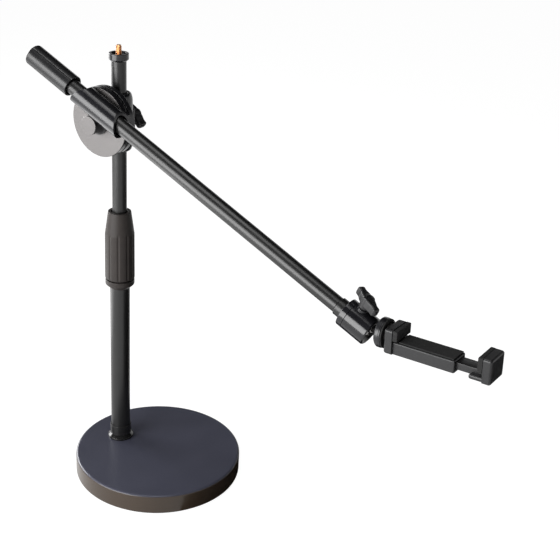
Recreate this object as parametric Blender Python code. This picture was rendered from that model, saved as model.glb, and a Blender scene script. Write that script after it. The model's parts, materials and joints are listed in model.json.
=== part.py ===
"""Overhead phone stand: weighted round base, telescopic pole, boom arm and phone clamp.

Metres, +Z up. The origin is on the pole's axis, on the surface that the base stands on.
The arm points along +X and lies on the -Y side of the pole.
"""

import math

import bmesh
import bpy
from mathutils import Vector

MM = 0.001

# Clearances
SEAT_GAP = 0.3 * MM
RUN_GAP = 0.2 * MM
BALL_GAP = 0.25 * MM
MERGE = 0.001 * MM

# Roundness of turned pieces, in sides
BASE_SIDES = 72
DISC_SIDES = 48
ROUND_SIDES = 32
SMALL_SIDES = 16
PIN_SIDES = 10
EDGE_STEPS = 3

# Base
BASE_R = 96.6 * MM
BASE_H = 25.3 * MM
BASE_EDGE = 3.0 * MM
PAD_T = 2.2 * MM
PAD_INSET = 3.5 * MM
POLE_INSET = 42.3 * MM
BASE_TURN = math.radians(6.9)
BASE_BOLT_R = 4.0 * MM
BASE_BOLT_HEAD_R = 7.4 * MM
BASE_BOLT_HEAD_T = 5.3 * MM
BASE_BOLT_IN = 22.0 * MM
WASHER_R = 10.0 * MM
WASHER_T = 1.6 * MM
SINK_SPARE = 1.5 * MM
PLUG_LEN = 30.0 * MM

# Lower pole and its foot
LOWER_R = 11.15 * MM
LOWER_LEN = 266.4 * MM
TUBE_WALL = 1.2 * MM
FOOT_RING_WALL = 3.3 * MM
FOOT_RING_H = 5.0 * MM
FOOT_RING_CHAMFER = 2.2 * MM
FERRULE_WALL = 0.8 * MM
FERRULE_H = 12.0 * MM
FERRULE_CHAMFER = 0.4 * MM

# Twist lock
CLUTCH_DEPTH = 66.9 * MM
CLUTCH_RING_H = 10.4 * MM
CLUTCH_CHAMFER = 4.6 * MM
CLUTCH_LIP = 0.6 * MM
SPIGOT_WALL = 1.75 * MM
SPIGOT_SHORT = 1.0 * MM
COLLAR_GROOVE = 1.8 * MM
COLLAR_WALL = 3.0 * MM
COLLAR_FLARE = 0.25 * MM
COLLAR_TAPER = 26.5 * MM
MOUTH_WALL = 3.5 * MM
MOUTH_GAP = 1.25 * MM
MOUTH_DEPTH = 5.0 * MM
MOUTH_EDGE = 0.5 * MM
COLLET_FOOT = 4.7 * MM
CONE_LEN = 15.0 * MM
CONE_RISE = 2.35 * MM
COLLET_SLIT = 1.6 * MM
FLUTES = 10
FLUTE_R = 2.6 * MM
FLUTE_DEPTH = 0.7 * MM

# Upper pole
UPPER_R = 8.0 * MM
MAST_OUT = 168.0 * MM
MAST_IN = 147.0 * MM
BUSH_LEN = 13.0 * MM
BUSH_LIP = 3.0 * MM
FLANGE_R = 10.5 * MM
FLANGE_H = 7.9 * MM
FLANGE_CHAMFER = 1.6 * MM
FLANGE_RIM = 2.8 * MM
FLANGE_RECESS = 2.7 * MM
FLANGE_PLUG_LEN = 15.0 * MM
STUD_R = 3.175 * MM
STUD_PROUD = 8.5 * MM
STUD_IN = 15.0 * MM
STUD_CHAMFER = 0.7 * MM

# Pole clamp
PIVOT_UP = 108.0 * MM
CLAMP_R = 14.5 * MM
CLAMP_UP = 26.5 * MM
CLAMP_DOWN = 36.5 * MM
CLAMP_LIP = 1.2 * MM
CLAMP_ROUND_TOP = 10.0 * MM
CLAMP_ROUND_BOTTOM = 8.5 * MM
LINER_WALL = 1.7 * MM
LINER_SHORT = 1.5 * MM
LINER_SLIT = 1.5 * MM
HUB_R = 19.0 * MM
HUB_ROOT_R = 13.0 * MM
BOSS_W = 17.0 * MM
BOSS_H = 20.0 * MM
BOSS_PROUD = 1.6 * MM
BOSS_EDGE = 1.5 * MM
BOSS_DROP = 3.0 * MM
SHOE_R = 4.0 * MM
SHOE_T = 2.2 * MM
POLE_SCREW_R = 3.0 * MM
SCREW_IN_KNOB = 7.5 * MM
KNOB_STANDOFF = 1.3 * MM
POLE_KNOB_TURN = math.radians(42.0)

# Wing knobs
WING_HALF = 17.0 * MM
WING_HUB_W = 11.0 * MM
WING_TIP_W = 7.4 * MM
POLE_WING_LIFT = 0.6 * MM
BALL_WING_LIFT = 2.8 * MM
WING_TIP_RISE = 0.8 * MM
WING_H = 12.6 * MM
WING_EDGE = 1.6 * MM
WING_STATIONS = (-1.0, -0.94, -0.78, -0.45, -0.2, 0.2, 0.45, 0.78, 0.94, 1.0)
WING_ROUND_FROM = 0.78
WING_ROUND_OVER = 0.24
KNOB_HUB_R = 5.8 * MM

# Tilt joint, from the pole clamp outwards
DISC_R = 37.0 * MM
DISC_STANDOFF = 1.5 * MM
REAR_DISC_T = 6.3 * MM
FRICTION_T = 1.5 * MM
FRICTION_INSET = 1.5 * MM
FRONT_DISC_T = 6.6 * MM
DISC_EDGE = 0.8 * MM
TILT_BOLT_R = 3.0 * MM
TILT_BOLT_IN = 9.4 * MM
TILT_BOLT_IN_KNOB = 9.5 * MM
TILT_WASHER_R = 8.0 * MM
TILT_WASHER_T = 1.0 * MM
TILT_KNOB_R = 9.9 * MM
TILT_KNOB_LEN = 13.1 * MM
TILT_KNOB_FLARE = 2.6 * MM
TILT_KNOB_FLARE_LEN = 8.0 * MM
TILT_KNOB_RIM = 1.1 * MM
TILT_CAP_T = 1.2 * MM
TILT_CAP_EDGE = 0.4 * MM

# Arm
ARM_TILT = math.radians(22.77)
ARM_R = 8.0 * MM
SLEEVE_R = 12.4 * MM
SLEEVE_SINK = 1.4 * MM
SLEEVE_KNOB_GAP = 0.3 * MM
SLEEVE_TRIM_R = 33.2 * MM
SLEEVE_TRIM_AHEAD = 4.8 * MM
SLEEVE_TRIM_UP = 9.8 * MM
WEB_H = 16.0 * MM
ARM_BUSH_WALL = 1.4 * MM
ARM_BUSH_SHORT = 1.0 * MM
ARM_BUSH_SLIT = 1.5 * MM
ARM_REACH = 328.4 * MM
GRIP_R = 11.5 * MM
GRIP_LEN = 60.0 * MM
GRIP_REST_GAP = 8.9 * MM
GRIP_END = 2.5 * MM
GRIP_EDGE = 1.5 * MM
GRIP_MOUTH_GAP = 1.9 * MM
GRIP_MOUTH_DEPTH = 4.5 * MM
GRIP_GROOVES = 4
GRIP_GROOVE_DEPTH = 1.2 * MM
GRIP_GROOVE_TURN = math.radians(30.0)
TAIL_PLUG_LEN = 12.0 * MM
TAIL_PLUG_FLANGE = 1.5 * MM
END_RING_R = 9.25 * MM
END_RING_LEN = 8.0 * MM
END_RING_EDGE = 0.6 * MM
END_PLUG_LEN = 14.0 * MM
END_STUD_R = 4.0 * MM
END_STUD_SHORT = 0.7 * MM

# Ball head
BALL_R = 10.5 * MM
HOUSING_WALL = 3.75 * MM
HOUSING_LEN = 32.2 * MM
HOUSING_CHAMFER = 1.5 * MM
HOUSING_REAR_EDGE = 1.0 * MM
HOUSING_SEAM_AT = 6.0 * MM
HOUSING_SEAM = 0.6 * MM
BALL_SETBACK = 9.8 * MM
LIP_AHEAD = 5.0 * MM
SEAT_T = 2.65 * MM
SEAT_R = 7.5 * MM
BALL_SCREW_BACK = 8.7 * MM
BALL_SCREW_R = 2.5 * MM
BALL_SHOE_T = 2.0 * MM
BALL_BOSS_R = 5.8 * MM
BALL_BOSS_PROUD = 1.8 * MM
BALL_BOSS_ROOT = 1.6 * MM
BALL_KNOB_LIFT = 0.8 * MM
BALL_KNOB_TURN = math.radians(-26.0)
HOLDER_PITCH = math.radians(-2.5)
NECK_R = 4.2 * MM
NECK_FLARE_R = 6.4 * MM
NECK_CLEAR = 1.4 * MM

# Platform
PLATFORM_R = 14.5 * MM
PLATFORM_T = 6.5 * MM
PLATFORM_EDGE = 0.8 * MM
PLATFORM_PAD_T = 1.5 * MM
PLATFORM_PAD_INSET = 0.4 * MM
PLATFORM_STUD_LEN = 5.5 * MM

# Phone clamp; heights are from the platform screw's axis
CLAMP_FOOT_R = 9.5 * MM
CLAMP_FOOT_T = 1.9 * MM
CLAMP_FOOT_EDGE = 0.4 * MM
TENON_R = 5.0 * MM
TENON_LEN = 5.2 * MM
JAW_W = 27.0 * MM
JAW_TOP = 11.2 * MM
JAW_BOTTOM = 13.5 * MM
JAW_T = 8.4 * MM
JAW_EDGE = 2.5 * MM
JAW_TOE_LEN = 13.0 * MM
JAW_TOE_RISE = 1.2 * MM
JAW_TOE_T = 4.6 * MM
JAW_TOE_EDGE = 1.8 * MM
JAW_TOE_INSET = 0.3 * MM
JAW_PAD_T = 5.0 * MM
JAW_PAD_INSET = 0.3 * MM
JAW_PAD_EDGE = 0.8 * MM
PHONE_GAP = 79.0 * MM
TRAY_W = 22.0 * MM
TRAY_TOP = -1.2 * MM
TRAY_LEN = 62.0 * MM
TRAY_EDGE = 1.2 * MM
TRAY_PAD_T = 1.2 * MM
BAR_W = 14.0 * MM
BAR_H = 7.0 * MM
BAR_LEN = 54.0 * MM
BAR_EDGE = 0.6 * MM
COVER_T = 2.4 * MM
COVER_OVERLAP = 2.0 * MM
CHANNEL_END_WALL = 1.4 * MM
COVER_SCREW_R = 1.2 * MM
COVER_SCREW_HEAD_R = 2.2 * MM
COVER_SCREW_HEAD_T = 0.9 * MM
COVER_SCREW_LEN = 4.0 * MM
COVER_SCREW_SPREAD = 5.5 * MM
COVER_SCREWS = 2
SPRING_R = 2.0 * MM
SPRING_WIRE_R = 0.35 * MM
SPRING_TURNS = 20
SPRING_STEPS = 8
PEG_R = 1.0 * MM
PEG_IN_TRAY = 1.2 * MM
JAW_PEG_BACK = 6.0 * MM

# Places along the pole, worked out from the sizes above
POLE_OFFSET = BASE_R - POLE_INSET
Z_BASE_UNDER = PAD_T + SEAT_GAP
SINK_DEPTH = WASHER_T + BASE_BOLT_HEAD_T + 2 * SEAT_GAP + SINK_SPARE
Z_SINK_TOP = Z_BASE_UNDER + SINK_DEPTH
Z_TUBE_FOOT = BASE_H + SEAT_GAP
Z_TUBE_TOP = Z_TUBE_FOOT + LOWER_LEN
Z_CLUTCH = Z_TUBE_TOP - CLUTCH_DEPTH
Z_CLUTCH_TOP = Z_CLUTCH + CLUTCH_RING_H
Z_COLLAR = Z_CLUTCH_TOP + COLLAR_GROOVE
Z_CONE = Z_TUBE_TOP + SEAT_GAP + COLLET_FOOT
Z_CONE_TOP = Z_CONE + CONE_LEN
Z_COLLAR_TOP = Z_CONE_TOP + MOUTH_DEPTH
Z_FLANGE = Z_COLLAR_TOP + MAST_OUT
Z_MAST_FOOT = Z_COLLAR_TOP - MAST_IN
Z_FLANGE_TOP = Z_FLANGE + SEAT_GAP + FLANGE_H

# Radii worked out from the tubes
LOWER_BORE = LOWER_R - TUBE_WALL
UPPER_BORE = UPPER_R - TUBE_WALL
ARM_BORE = ARM_R - TUBE_WALL
SPIGOT_R = LOWER_R + SEAT_GAP + SPIGOT_WALL
COLLAR_BORE = SPIGOT_R + RUN_GAP
COLLAR_R = COLLAR_BORE + COLLAR_WALL
MOUTH_BORE = UPPER_R + MOUTH_GAP
CONE_R = MOUTH_BORE + CONE_RISE
LINER_R = UPPER_R + RUN_GAP + LINER_WALL
CLAMP_BORE = LINER_R + RUN_GAP
ARM_BUSH_R = ARM_R + RUN_GAP + ARM_BUSH_WALL
SLEEVE_BORE = ARM_BUSH_R + RUN_GAP

# Distances from the pole's axis towards the arm, as positive numbers
REAR_DISC_BACK = CLAMP_R + DISC_STANDOFF
REAR_DISC_FACE = REAR_DISC_BACK + REAR_DISC_T
FRICTION_BACK = REAR_DISC_FACE + SEAT_GAP
FRONT_DISC_BACK = FRICTION_BACK + FRICTION_T + SEAT_GAP
FRONT_DISC_FACE = FRONT_DISC_BACK + FRONT_DISC_T
TILT_WASHER_BACK = FRONT_DISC_FACE + SEAT_GAP
TILT_KNOB_BACK = TILT_WASHER_BACK + TILT_WASHER_T + SEAT_GAP
ARM_SIDE = FRONT_DISC_FACE + SLEEVE_R - SLEEVE_SINK

# Places along the arm, from the tilt bolt, with the arm's axis this far above the bolt
ARM_ABOVE = SLEEVE_R + TILT_KNOB_R + SLEEVE_KNOB_GAP
SLEEVE_BACK = SLEEVE_TRIM_R - SLEEVE_TRIM_AHEAD
BORE_RISE = ARM_ABOVE + SLEEVE_BORE - SLEEVE_TRIM_UP
BUSH_HALF = math.sqrt(SLEEVE_TRIM_R ** 2 - BORE_RISE ** 2) - ARM_BUSH_SHORT
X_GRIP_FRONT = -SLEEVE_BACK - GRIP_REST_GAP
X_GRIP_REAR = X_GRIP_FRONT - GRIP_LEN
X_ARM_REAR = X_GRIP_REAR + GRIP_END + SEAT_GAP + TAIL_PLUG_FLANGE + SEAT_GAP
X_RING = ARM_REACH + SEAT_GAP
X_HOUSING = X_RING + END_RING_LEN + SEAT_GAP
X_HOUSING_FRONT = X_HOUSING + HOUSING_LEN
X_BALL = X_HOUSING_FRONT - BALL_SETBACK
X_BALL_SCREW = X_BALL - BALL_SCREW_BACK
HOUSING_BORE = BALL_R + BALL_GAP
HOUSING_R = HOUSING_BORE + HOUSING_WALL
X_SEAT_REAR = X_BALL - HOUSING_BORE - SEAT_T
X_CAVITY = X_SEAT_REAR - SEAT_GAP
BALL_BOSS_TOP = HOUSING_R + BALL_BOSS_PROUD

# Places along the neck, from the ball's centre
NECK_REACH = math.hypot(BALL_SETBACK, HOUSING_R - HOUSING_CHAMFER) + NECK_CLEAR
X_PLATFORM = NECK_REACH + SEAT_GAP
X_PLATFORM_PAD = X_PLATFORM + PLATFORM_T + SEAT_GAP
X_FOOT = X_PLATFORM_PAD + PLATFORM_PAD_T + SEAT_GAP
X_JAW = X_FOOT + CLAMP_FOOT_T + SEAT_GAP
X_JAW_FACE = X_JAW + JAW_T
X_FIXED_PAD = X_JAW_FACE + SEAT_GAP
X_GAP_LOW = X_FIXED_PAD + JAW_PAD_T
X_GAP_HIGH = X_GAP_LOW + PHONE_GAP
X_MOVING_FACE = X_GAP_HIGH + JAW_PAD_T + SEAT_GAP
X_CHANNEL = X_JAW_FACE + CHANNEL_END_WALL
X_TRAY_END = X_JAW_FACE + TRAY_LEN
PEG_ROOM = PEG_R + 2 * (SPRING_WIRE_R + SEAT_GAP)
X_TRAY_PEG = X_CHANNEL + PEG_ROOM
X_JAW_PEG = X_MOVING_FACE - JAW_PEG_BACK
Z_COVER = -JAW_BOTTOM + SEAT_GAP
Z_COVER_TOP = Z_COVER + COVER_T
Z_BAR = Z_COVER_TOP + RUN_GAP
Z_BAR_TOP = Z_BAR + BAR_H
Z_SPRING = Z_BAR + BAR_H / 2
SPRING_BORE = SPRING_R + SPRING_WIRE_R + SEAT_GAP
COVER_W = BAR_W + 2 * (RUN_GAP + COVER_OVERLAP)

# Turns that lay a piece's own +Z along another axis
UP = (0.0, 0.0, 0.0)
ALONG_X = (0.0, math.pi / 2, 0.0)
TOWARDS_ARM = (math.pi / 2, 0.0, 0.0)
AWAY_FROM_ARM = (-math.pi / 2, 0.0, 0.0)


def clear_scene():
    """Remove whatever objects the new file starts with."""
    for obj in list(bpy.data.objects):
        bpy.data.objects.remove(obj, do_unlink=True)


def finish(name, color, roughness, metallic=0.0):
    """One Principled finish."""
    material = bpy.data.materials.new(name)
    material.use_nodes = True
    shader = material.node_tree.nodes["Principled BSDF"]
    shader.inputs["Base Color"].default_value = (*color, 1.0)
    shader.inputs["Roughness"].default_value = roughness
    shader.inputs["Metallic"].default_value = metallic
    return material


def make_finishes():
    """The finishes that the photograph shows, and plain ones for the hidden pieces."""
    return {
        "base": finish("base_coat", (0.045, 0.048, 0.056), 0.55),
        "satin_black": finish("satin_black_coat", (0.022, 0.021, 0.022), 0.35),
        "black_casting": finish("black_coated_casting", (0.022, 0.022, 0.025), 0.35),
        "collar": finish("collar_plastic", (0.085, 0.078, 0.07), 0.5),
        "black_plastic": finish("black_plastic", (0.02, 0.02, 0.021), 0.45),
        "bare_disc": finish("bare_satin_metal", (0.45, 0.42, 0.41), 0.45, 0.6),
        "brass": finish("stud_brass", (0.62, 0.34, 0.16), 0.3, 1.0),
        "steel": finish("plain_steel", (0.6, 0.6, 0.6), 0.35, 1.0),
        "rubber": finish("soft_rubber", (0.02, 0.02, 0.02), 0.8),
        "white_plastic": finish("liner_plastic", (0.6, 0.6, 0.58), 0.5),
    }


def add_frame(name, parent, at, turn=UP):
    """An empty on a joint's axis; the pieces that move there are its children."""
    empty = bpy.data.objects.new(name, None)
    bpy.context.collection.objects.link(empty)
    empty.parent = parent
    empty.location = at
    empty.rotation_euler = turn
    return empty


def add_piece(name, bm, material, parent, at=(0, 0, 0), turn=UP):
    """Turn a bmesh into a named object, smooth with sharp edges."""
    bmesh.ops.remove_doubles(bm, verts=bm.verts, dist=MERGE)
    bmesh.ops.recalc_face_normals(bm, faces=bm.faces)
    mesh = bpy.data.meshes.new(name)
    bm.to_mesh(mesh)
    bm.free()
    mesh.shade_smooth()
    mesh.set_sharp_from_angle(angle=math.radians(32))
    if material:
        mesh.materials.append(material)
    obj = bpy.data.objects.new(name, mesh)
    bpy.context.collection.objects.link(obj)
    obj.parent = parent
    obj.location = at
    obj.rotation_euler = turn
    return obj


def combine(piece, tool, operation):
    """Cut a tool out of a piece, join it on, or keep only what the two share."""
    tool.hide_render = True
    tool.display_type = "WIRE"
    modifier = piece.modifiers.new(operation.lower(), "BOOLEAN")
    modifier.operation = operation
    modifier.solver = "EXACT"
    modifier.object = tool


def cut(piece, tool):
    """Cut a tool's shape out of a piece."""
    combine(piece, tool, "DIFFERENCE")


def join(piece, tool):
    """Join a tool's shape to a piece."""
    combine(piece, tool, "UNION")


def arc(center, radius, start, end, steps=EDGE_STEPS):
    """Points of an arc in the outline's plane; angles in degrees from the outward direction."""
    points = []
    for i in range(steps + 1):
        angle = math.radians(start + (end - start) * i / steps)
        points.append((center[0] + radius * math.cos(angle), center[1] + radius * math.sin(angle)))
    return points


def lathe(outline, sides=ROUND_SIDES, start=0.0):
    """Turn an outline of (radius, height) points round Z; its first side begins at start, in sides."""
    bm = bmesh.new()
    angle = 2 * math.pi * start / sides
    across = (math.cos(angle), math.sin(angle))
    verts = [bm.verts.new((radius * across[0], radius * across[1], height)) for radius, height in outline]
    edges = []
    for i, first in enumerate(verts):
        j = (i + 1) % len(verts)
        if outline[i][0] > MERGE or outline[j][0] > MERGE:
            edges.append(bm.edges.new((first, verts[j])))
    bmesh.ops.spin(
        bm, geom=verts + edges, cent=(0, 0, 0), axis=(0, 0, 1),
        angle=2 * math.pi, steps=sides, use_merge=True)
    return bm


def rod(radius, low, high, sides=SMALL_SIDES, start=0.0):
    """A plain round bar from one height to another."""
    return lathe([(0, low), (radius, low), (radius, high), (0, high)], sides, start)


def chamfered_rod(radius, low, high, edge, sides=SMALL_SIDES):
    """A round bar whose upper end has a chamfer."""
    return lathe([(0, low), (radius, low), (radius, high - edge), (radius - edge, high), (0, high)], sides)


def ring(inner, outer, low, high, sides=ROUND_SIDES):
    """A plain round sleeve."""
    return lathe([(outer, low), (outer, high), (inner, high), (inner, low)], sides)


def block(low, high, edge=0.0, steps=2):
    """A box between two corners, with its edges rounded."""
    bm = bmesh.new()
    bmesh.ops.create_cube(bm, size=1.0)
    middle = [(a + b) / 2 for a, b in zip(low, high)]
    size = [b - a for a, b in zip(low, high)]
    for vert in bm.verts:
        vert.co = Vector([middle[i] + vert.co[i] * size[i] for i in range(3)])
    if edge:
        bmesh.ops.bevel(
            bm, geom=list(bm.edges), offset=edge, segments=steps, profile=0.5, affect="EDGES",
            clamp_overlap=True)
    return bm


def add_slit(piece, width, inner, outer, low, high, parent, turn=UP, at=(0, 0, 0)):
    """Cut one slit along a split sleeve, on its own +X side."""
    reach = outer + SEAT_GAP
    start = inner / 2
    tool = block((start, -width / 2, low - SEAT_GAP), (reach, width / 2, high + SEAT_GAP))
    cut(piece, add_piece(piece.name + "_slit", tool, None, parent, at, turn))


def wing(lift):
    """A wing knob's grip round +Z, with its wings along X; lift is how far they clear the hub's foot."""
    bm = bmesh.new()
    sections = []
    for share in WING_STATIONS:
        reach = abs(share)
        beyond = max(0.0, reach - WING_ROUND_FROM) / WING_ROUND_OVER
        round_off = math.sqrt(1.0 - beyond ** 2)
        taper = min(1.0, reach / WING_ROUND_FROM)
        half = (WING_HUB_W + (WING_TIP_W - WING_HUB_W) * taper) / 2 * round_off
        low = lift + WING_TIP_RISE * reach
        middle = (low + WING_H) / 2
        rise = (WING_H - low) / 2 * round_off
        bevel = WING_EDGE * round_off
        section = []
        for y, z in ((half, rise), (-half, rise), (-half, -rise), (half, -rise)):
            in_y = math.copysign(bevel, y)
            in_z = math.copysign(bevel, z)
            pair = [(y, z - in_z), (y - in_y, z)]
            if y * z < 0:
                pair.reverse()
            section += [bm.verts.new((share * WING_HALF, py, middle + pz)) for py, pz in pair]
        sections.append(section)
    for first, second in zip(sections, sections[1:]):
        for i in range(len(first)):
            j = (i + 1) % len(first)
            bm.faces.new((first[i], first[j], second[j], second[i]))
    bm.faces.new(sections[0])
    bm.faces.new(sections[-1])
    return bm


def add_wing_knob(name, material, parent, at, turn, screw_r, lift):
    """A wing knob: hub and wings round +Z, with a blind hole for its screw."""
    knob = add_piece(name, chamfered_rod(KNOB_HUB_R, 0, WING_H, WING_EDGE / 2), material, parent, at, turn)
    join(knob, add_piece(name + "_wings", wing(lift), None, parent, at, turn))
    hole = rod(screw_r + SEAT_GAP, -SEAT_GAP, SCREW_IN_KNOB + SEAT_GAP, PIN_SIDES)
    cut(knob, add_piece(name + "_hole", hole, None, parent, at, turn))
    return knob


def add_base(look):
    """The weighted disc, its soft pad, and the bolt and washer that hold the pole."""
    root = add_frame("stand", None, (0, 0, 0))
    center = (POLE_OFFSET * math.cos(BASE_TURN), POLE_OFFSET * math.sin(BASE_TURN), 0)
    outline = [(0, Z_BASE_UNDER)]
    outline += arc((BASE_R - BASE_EDGE, Z_BASE_UNDER + BASE_EDGE), BASE_EDGE, -90, 0)
    outline += arc((BASE_R - BASE_EDGE, BASE_H - BASE_EDGE), BASE_EDGE, 0, 90)
    outline.append((0, BASE_H))
    weight = add_piece("base_weight", lathe(outline, BASE_SIDES), look["base"], root, center)
    hole = rod(BASE_BOLT_R + SEAT_GAP, 0, BASE_H + SEAT_GAP)
    cut(weight, add_piece("base_bolt_hole", hole, None, root))
    sink = rod(WASHER_R + SEAT_GAP, 0, Z_SINK_TOP)
    cut(weight, add_piece("base_bolt_sink", sink, None, root))
    add_piece("base_pad", rod(BASE_R - PAD_INSET, 0, PAD_T, BASE_SIDES), look["rubber"], root, center)
    washer_top = Z_SINK_TOP - SEAT_GAP
    washer_low = washer_top - WASHER_T
    washer = ring(BASE_BOLT_R + SEAT_GAP, WASHER_R, washer_low, washer_top, SMALL_SIDES)
    add_piece("base_washer", washer, look["steel"], root)
    head_top = washer_low - SEAT_GAP
    head = rod(BASE_BOLT_HEAD_R, head_top - BASE_BOLT_HEAD_T, head_top, 6)
    bolt = add_piece("base_bolt", head, look["steel"], root)
    shank = rod(BASE_BOLT_R, head_top - BASE_BOLT_HEAD_T / 2, Z_TUBE_FOOT + BASE_BOLT_IN)
    join(bolt, add_piece("base_bolt_shank", shank, None, root))
    return root


def add_lower_pole(look, root):
    """The fixed tube with its foot, and the fixed half of the twist lock."""
    plug = rod(LOWER_BORE - SEAT_GAP, Z_TUBE_FOOT, Z_TUBE_FOOT + PLUG_LEN)
    plug = add_piece("foot_plug", plug, look["steel"], root)
    thread = rod(BASE_BOLT_R + SEAT_GAP, Z_BASE_UNDER, Z_TUBE_FOOT + BASE_BOLT_IN + SEAT_GAP)
    cut(plug, add_piece("foot_plug_thread", thread, None, root))
    inner = LOWER_R + SEAT_GAP
    outer = inner + FOOT_RING_WALL
    top = Z_TUBE_FOOT + FOOT_RING_H
    outline = [(inner, Z_TUBE_FOOT), (outer, Z_TUBE_FOOT), (outer, top - FOOT_RING_CHAMFER),
               (outer - FOOT_RING_CHAMFER, top), (inner, top)]
    add_piece("foot_ring", lathe(outline), look["satin_black"], root)
    low = top + SEAT_GAP
    outer = inner + FERRULE_WALL
    top = low + FERRULE_H
    outline = [(inner, low), (outer, low), (outer, top - FERRULE_CHAMFER),
               (outer - FERRULE_CHAMFER, top), (inner, top)]
    add_piece("foot_ferrule", lathe(outline), look["satin_black"], root)
    tube = ring(LOWER_BORE, LOWER_R, Z_TUBE_FOOT, Z_TUBE_TOP)
    add_piece("lower_tube", tube, look["satin_black"], root)

    outline = [
        (inner, Z_CLUTCH), (COLLAR_R - CLUTCH_CHAMFER, Z_CLUTCH), (COLLAR_R, Z_CLUTCH + CLUTCH_CHAMFER),
        (COLLAR_R, Z_CLUTCH_TOP - CLUTCH_LIP), (COLLAR_R - CLUTCH_LIP, Z_CLUTCH_TOP),
        (SPIGOT_R, Z_CLUTCH_TOP), (SPIGOT_R, Z_TUBE_TOP - SPIGOT_SHORT), (inner, Z_TUBE_TOP - SPIGOT_SHORT)]
    add_piece("clutch_ring", lathe(outline), look["collar"], root)
    inner = UPPER_R + RUN_GAP
    foot = Z_TUBE_TOP + SEAT_GAP
    outline = [(inner, foot), (CONE_R - RUN_GAP, foot), (CONE_R - RUN_GAP, Z_CONE),
               (MOUTH_BORE - RUN_GAP, Z_CONE_TOP - SEAT_GAP), (inner, Z_CONE_TOP - SEAT_GAP)]
    collet = add_piece("split_collet", lathe(outline), look["white_plastic"], root)
    add_slit(collet, COLLET_SLIT, inner, CONE_R, foot, Z_CONE_TOP, root)


def add_collar(look, root):
    """The fluted grip of the twist lock; it turns round the pole."""
    turn = add_frame("collar_twist", root, (0, 0, Z_COLLAR))
    top = Z_COLLAR_TOP - Z_COLLAR
    shoulder = top - COLLAR_TAPER
    mouth = MOUTH_BORE + MOUTH_WALL
    outline = [(COLLAR_BORE, 0), (COLLAR_R + COLLAR_FLARE - MOUTH_EDGE, 0)]
    outline += [(COLLAR_R + COLLAR_FLARE, MOUTH_EDGE), (COLLAR_R, shoulder)]
    outline += arc((mouth - MOUTH_EDGE, top - MOUTH_EDGE), MOUTH_EDGE, 0, 90)
    outline += [(MOUTH_BORE, top), (MOUTH_BORE, Z_CONE_TOP - Z_COLLAR), (CONE_R, Z_CONE - Z_COLLAR),
                (COLLAR_BORE, Z_CONE - Z_COLLAR)]
    collar = add_piece("collar_sleeve", lathe(outline), look["collar"], turn)
    reach = COLLAR_R - FLUTE_DEPTH + FLUTE_R
    for i in range(FLUTES):
        angle = 2 * math.pi * (i + 0.5) / FLUTES
        at = (reach * math.cos(angle), reach * math.sin(angle), 0)
        tool = rod(FLUTE_R, -SEAT_GAP, top, SMALL_SIDES)
        cut(collar, add_piece("collar_flute_%d" % i, tool, None, turn, at))


def add_mast(look, root):
    """The sliding tube, its guide bush and the flanged spigot with its stud."""
    mast = add_frame("mast_lift", root, (0, 0, Z_COLLAR_TOP))
    shift = -Z_COLLAR_TOP
    tube = ring(UPPER_BORE, UPPER_R, Z_MAST_FOOT + shift, Z_FLANGE + shift)
    add_piece("upper_tube", tube, look["satin_black"], mast)
    seat = Z_MAST_FOOT + shift - SEAT_GAP
    inner = UPPER_R + SEAT_GAP
    outer = LOWER_BORE - RUN_GAP
    outline = [(UPPER_BORE, seat - BUSH_LIP), (outer, seat - BUSH_LIP), (outer, seat + BUSH_LEN),
               (inner, seat + BUSH_LEN), (inner, seat), (UPPER_BORE, seat)]
    add_piece("guide_bush", lathe(outline), look["white_plastic"], mast)
    low = Z_FLANGE + shift + SEAT_GAP
    top = Z_FLANGE_TOP + shift
    floor = top - FLANGE_RECESS
    plug = UPPER_BORE - SEAT_GAP
    outline = [(0, low - FLANGE_PLUG_LEN), (plug, low - FLANGE_PLUG_LEN), (plug, low),
               (FLANGE_R - FLANGE_CHAMFER, low), (FLANGE_R, low + FLANGE_CHAMFER), (FLANGE_R, top),
               (FLANGE_R - FLANGE_RIM, top), (FLANGE_R - FLANGE_RIM, floor), (0, floor)]
    flange = add_piece("spigot_flange", lathe(outline), look["black_casting"], mast)
    hole = rod(STUD_R + SEAT_GAP, floor - STUD_IN - SEAT_GAP, top)
    cut(flange, add_piece("spigot_hole", hole, None, mast))
    stud = chamfered_rod(STUD_R, floor - STUD_IN, top + STUD_PROUD, STUD_CHAMFER)
    add_piece("spigot_stud", stud, look["brass"], mast)
    return mast


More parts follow.
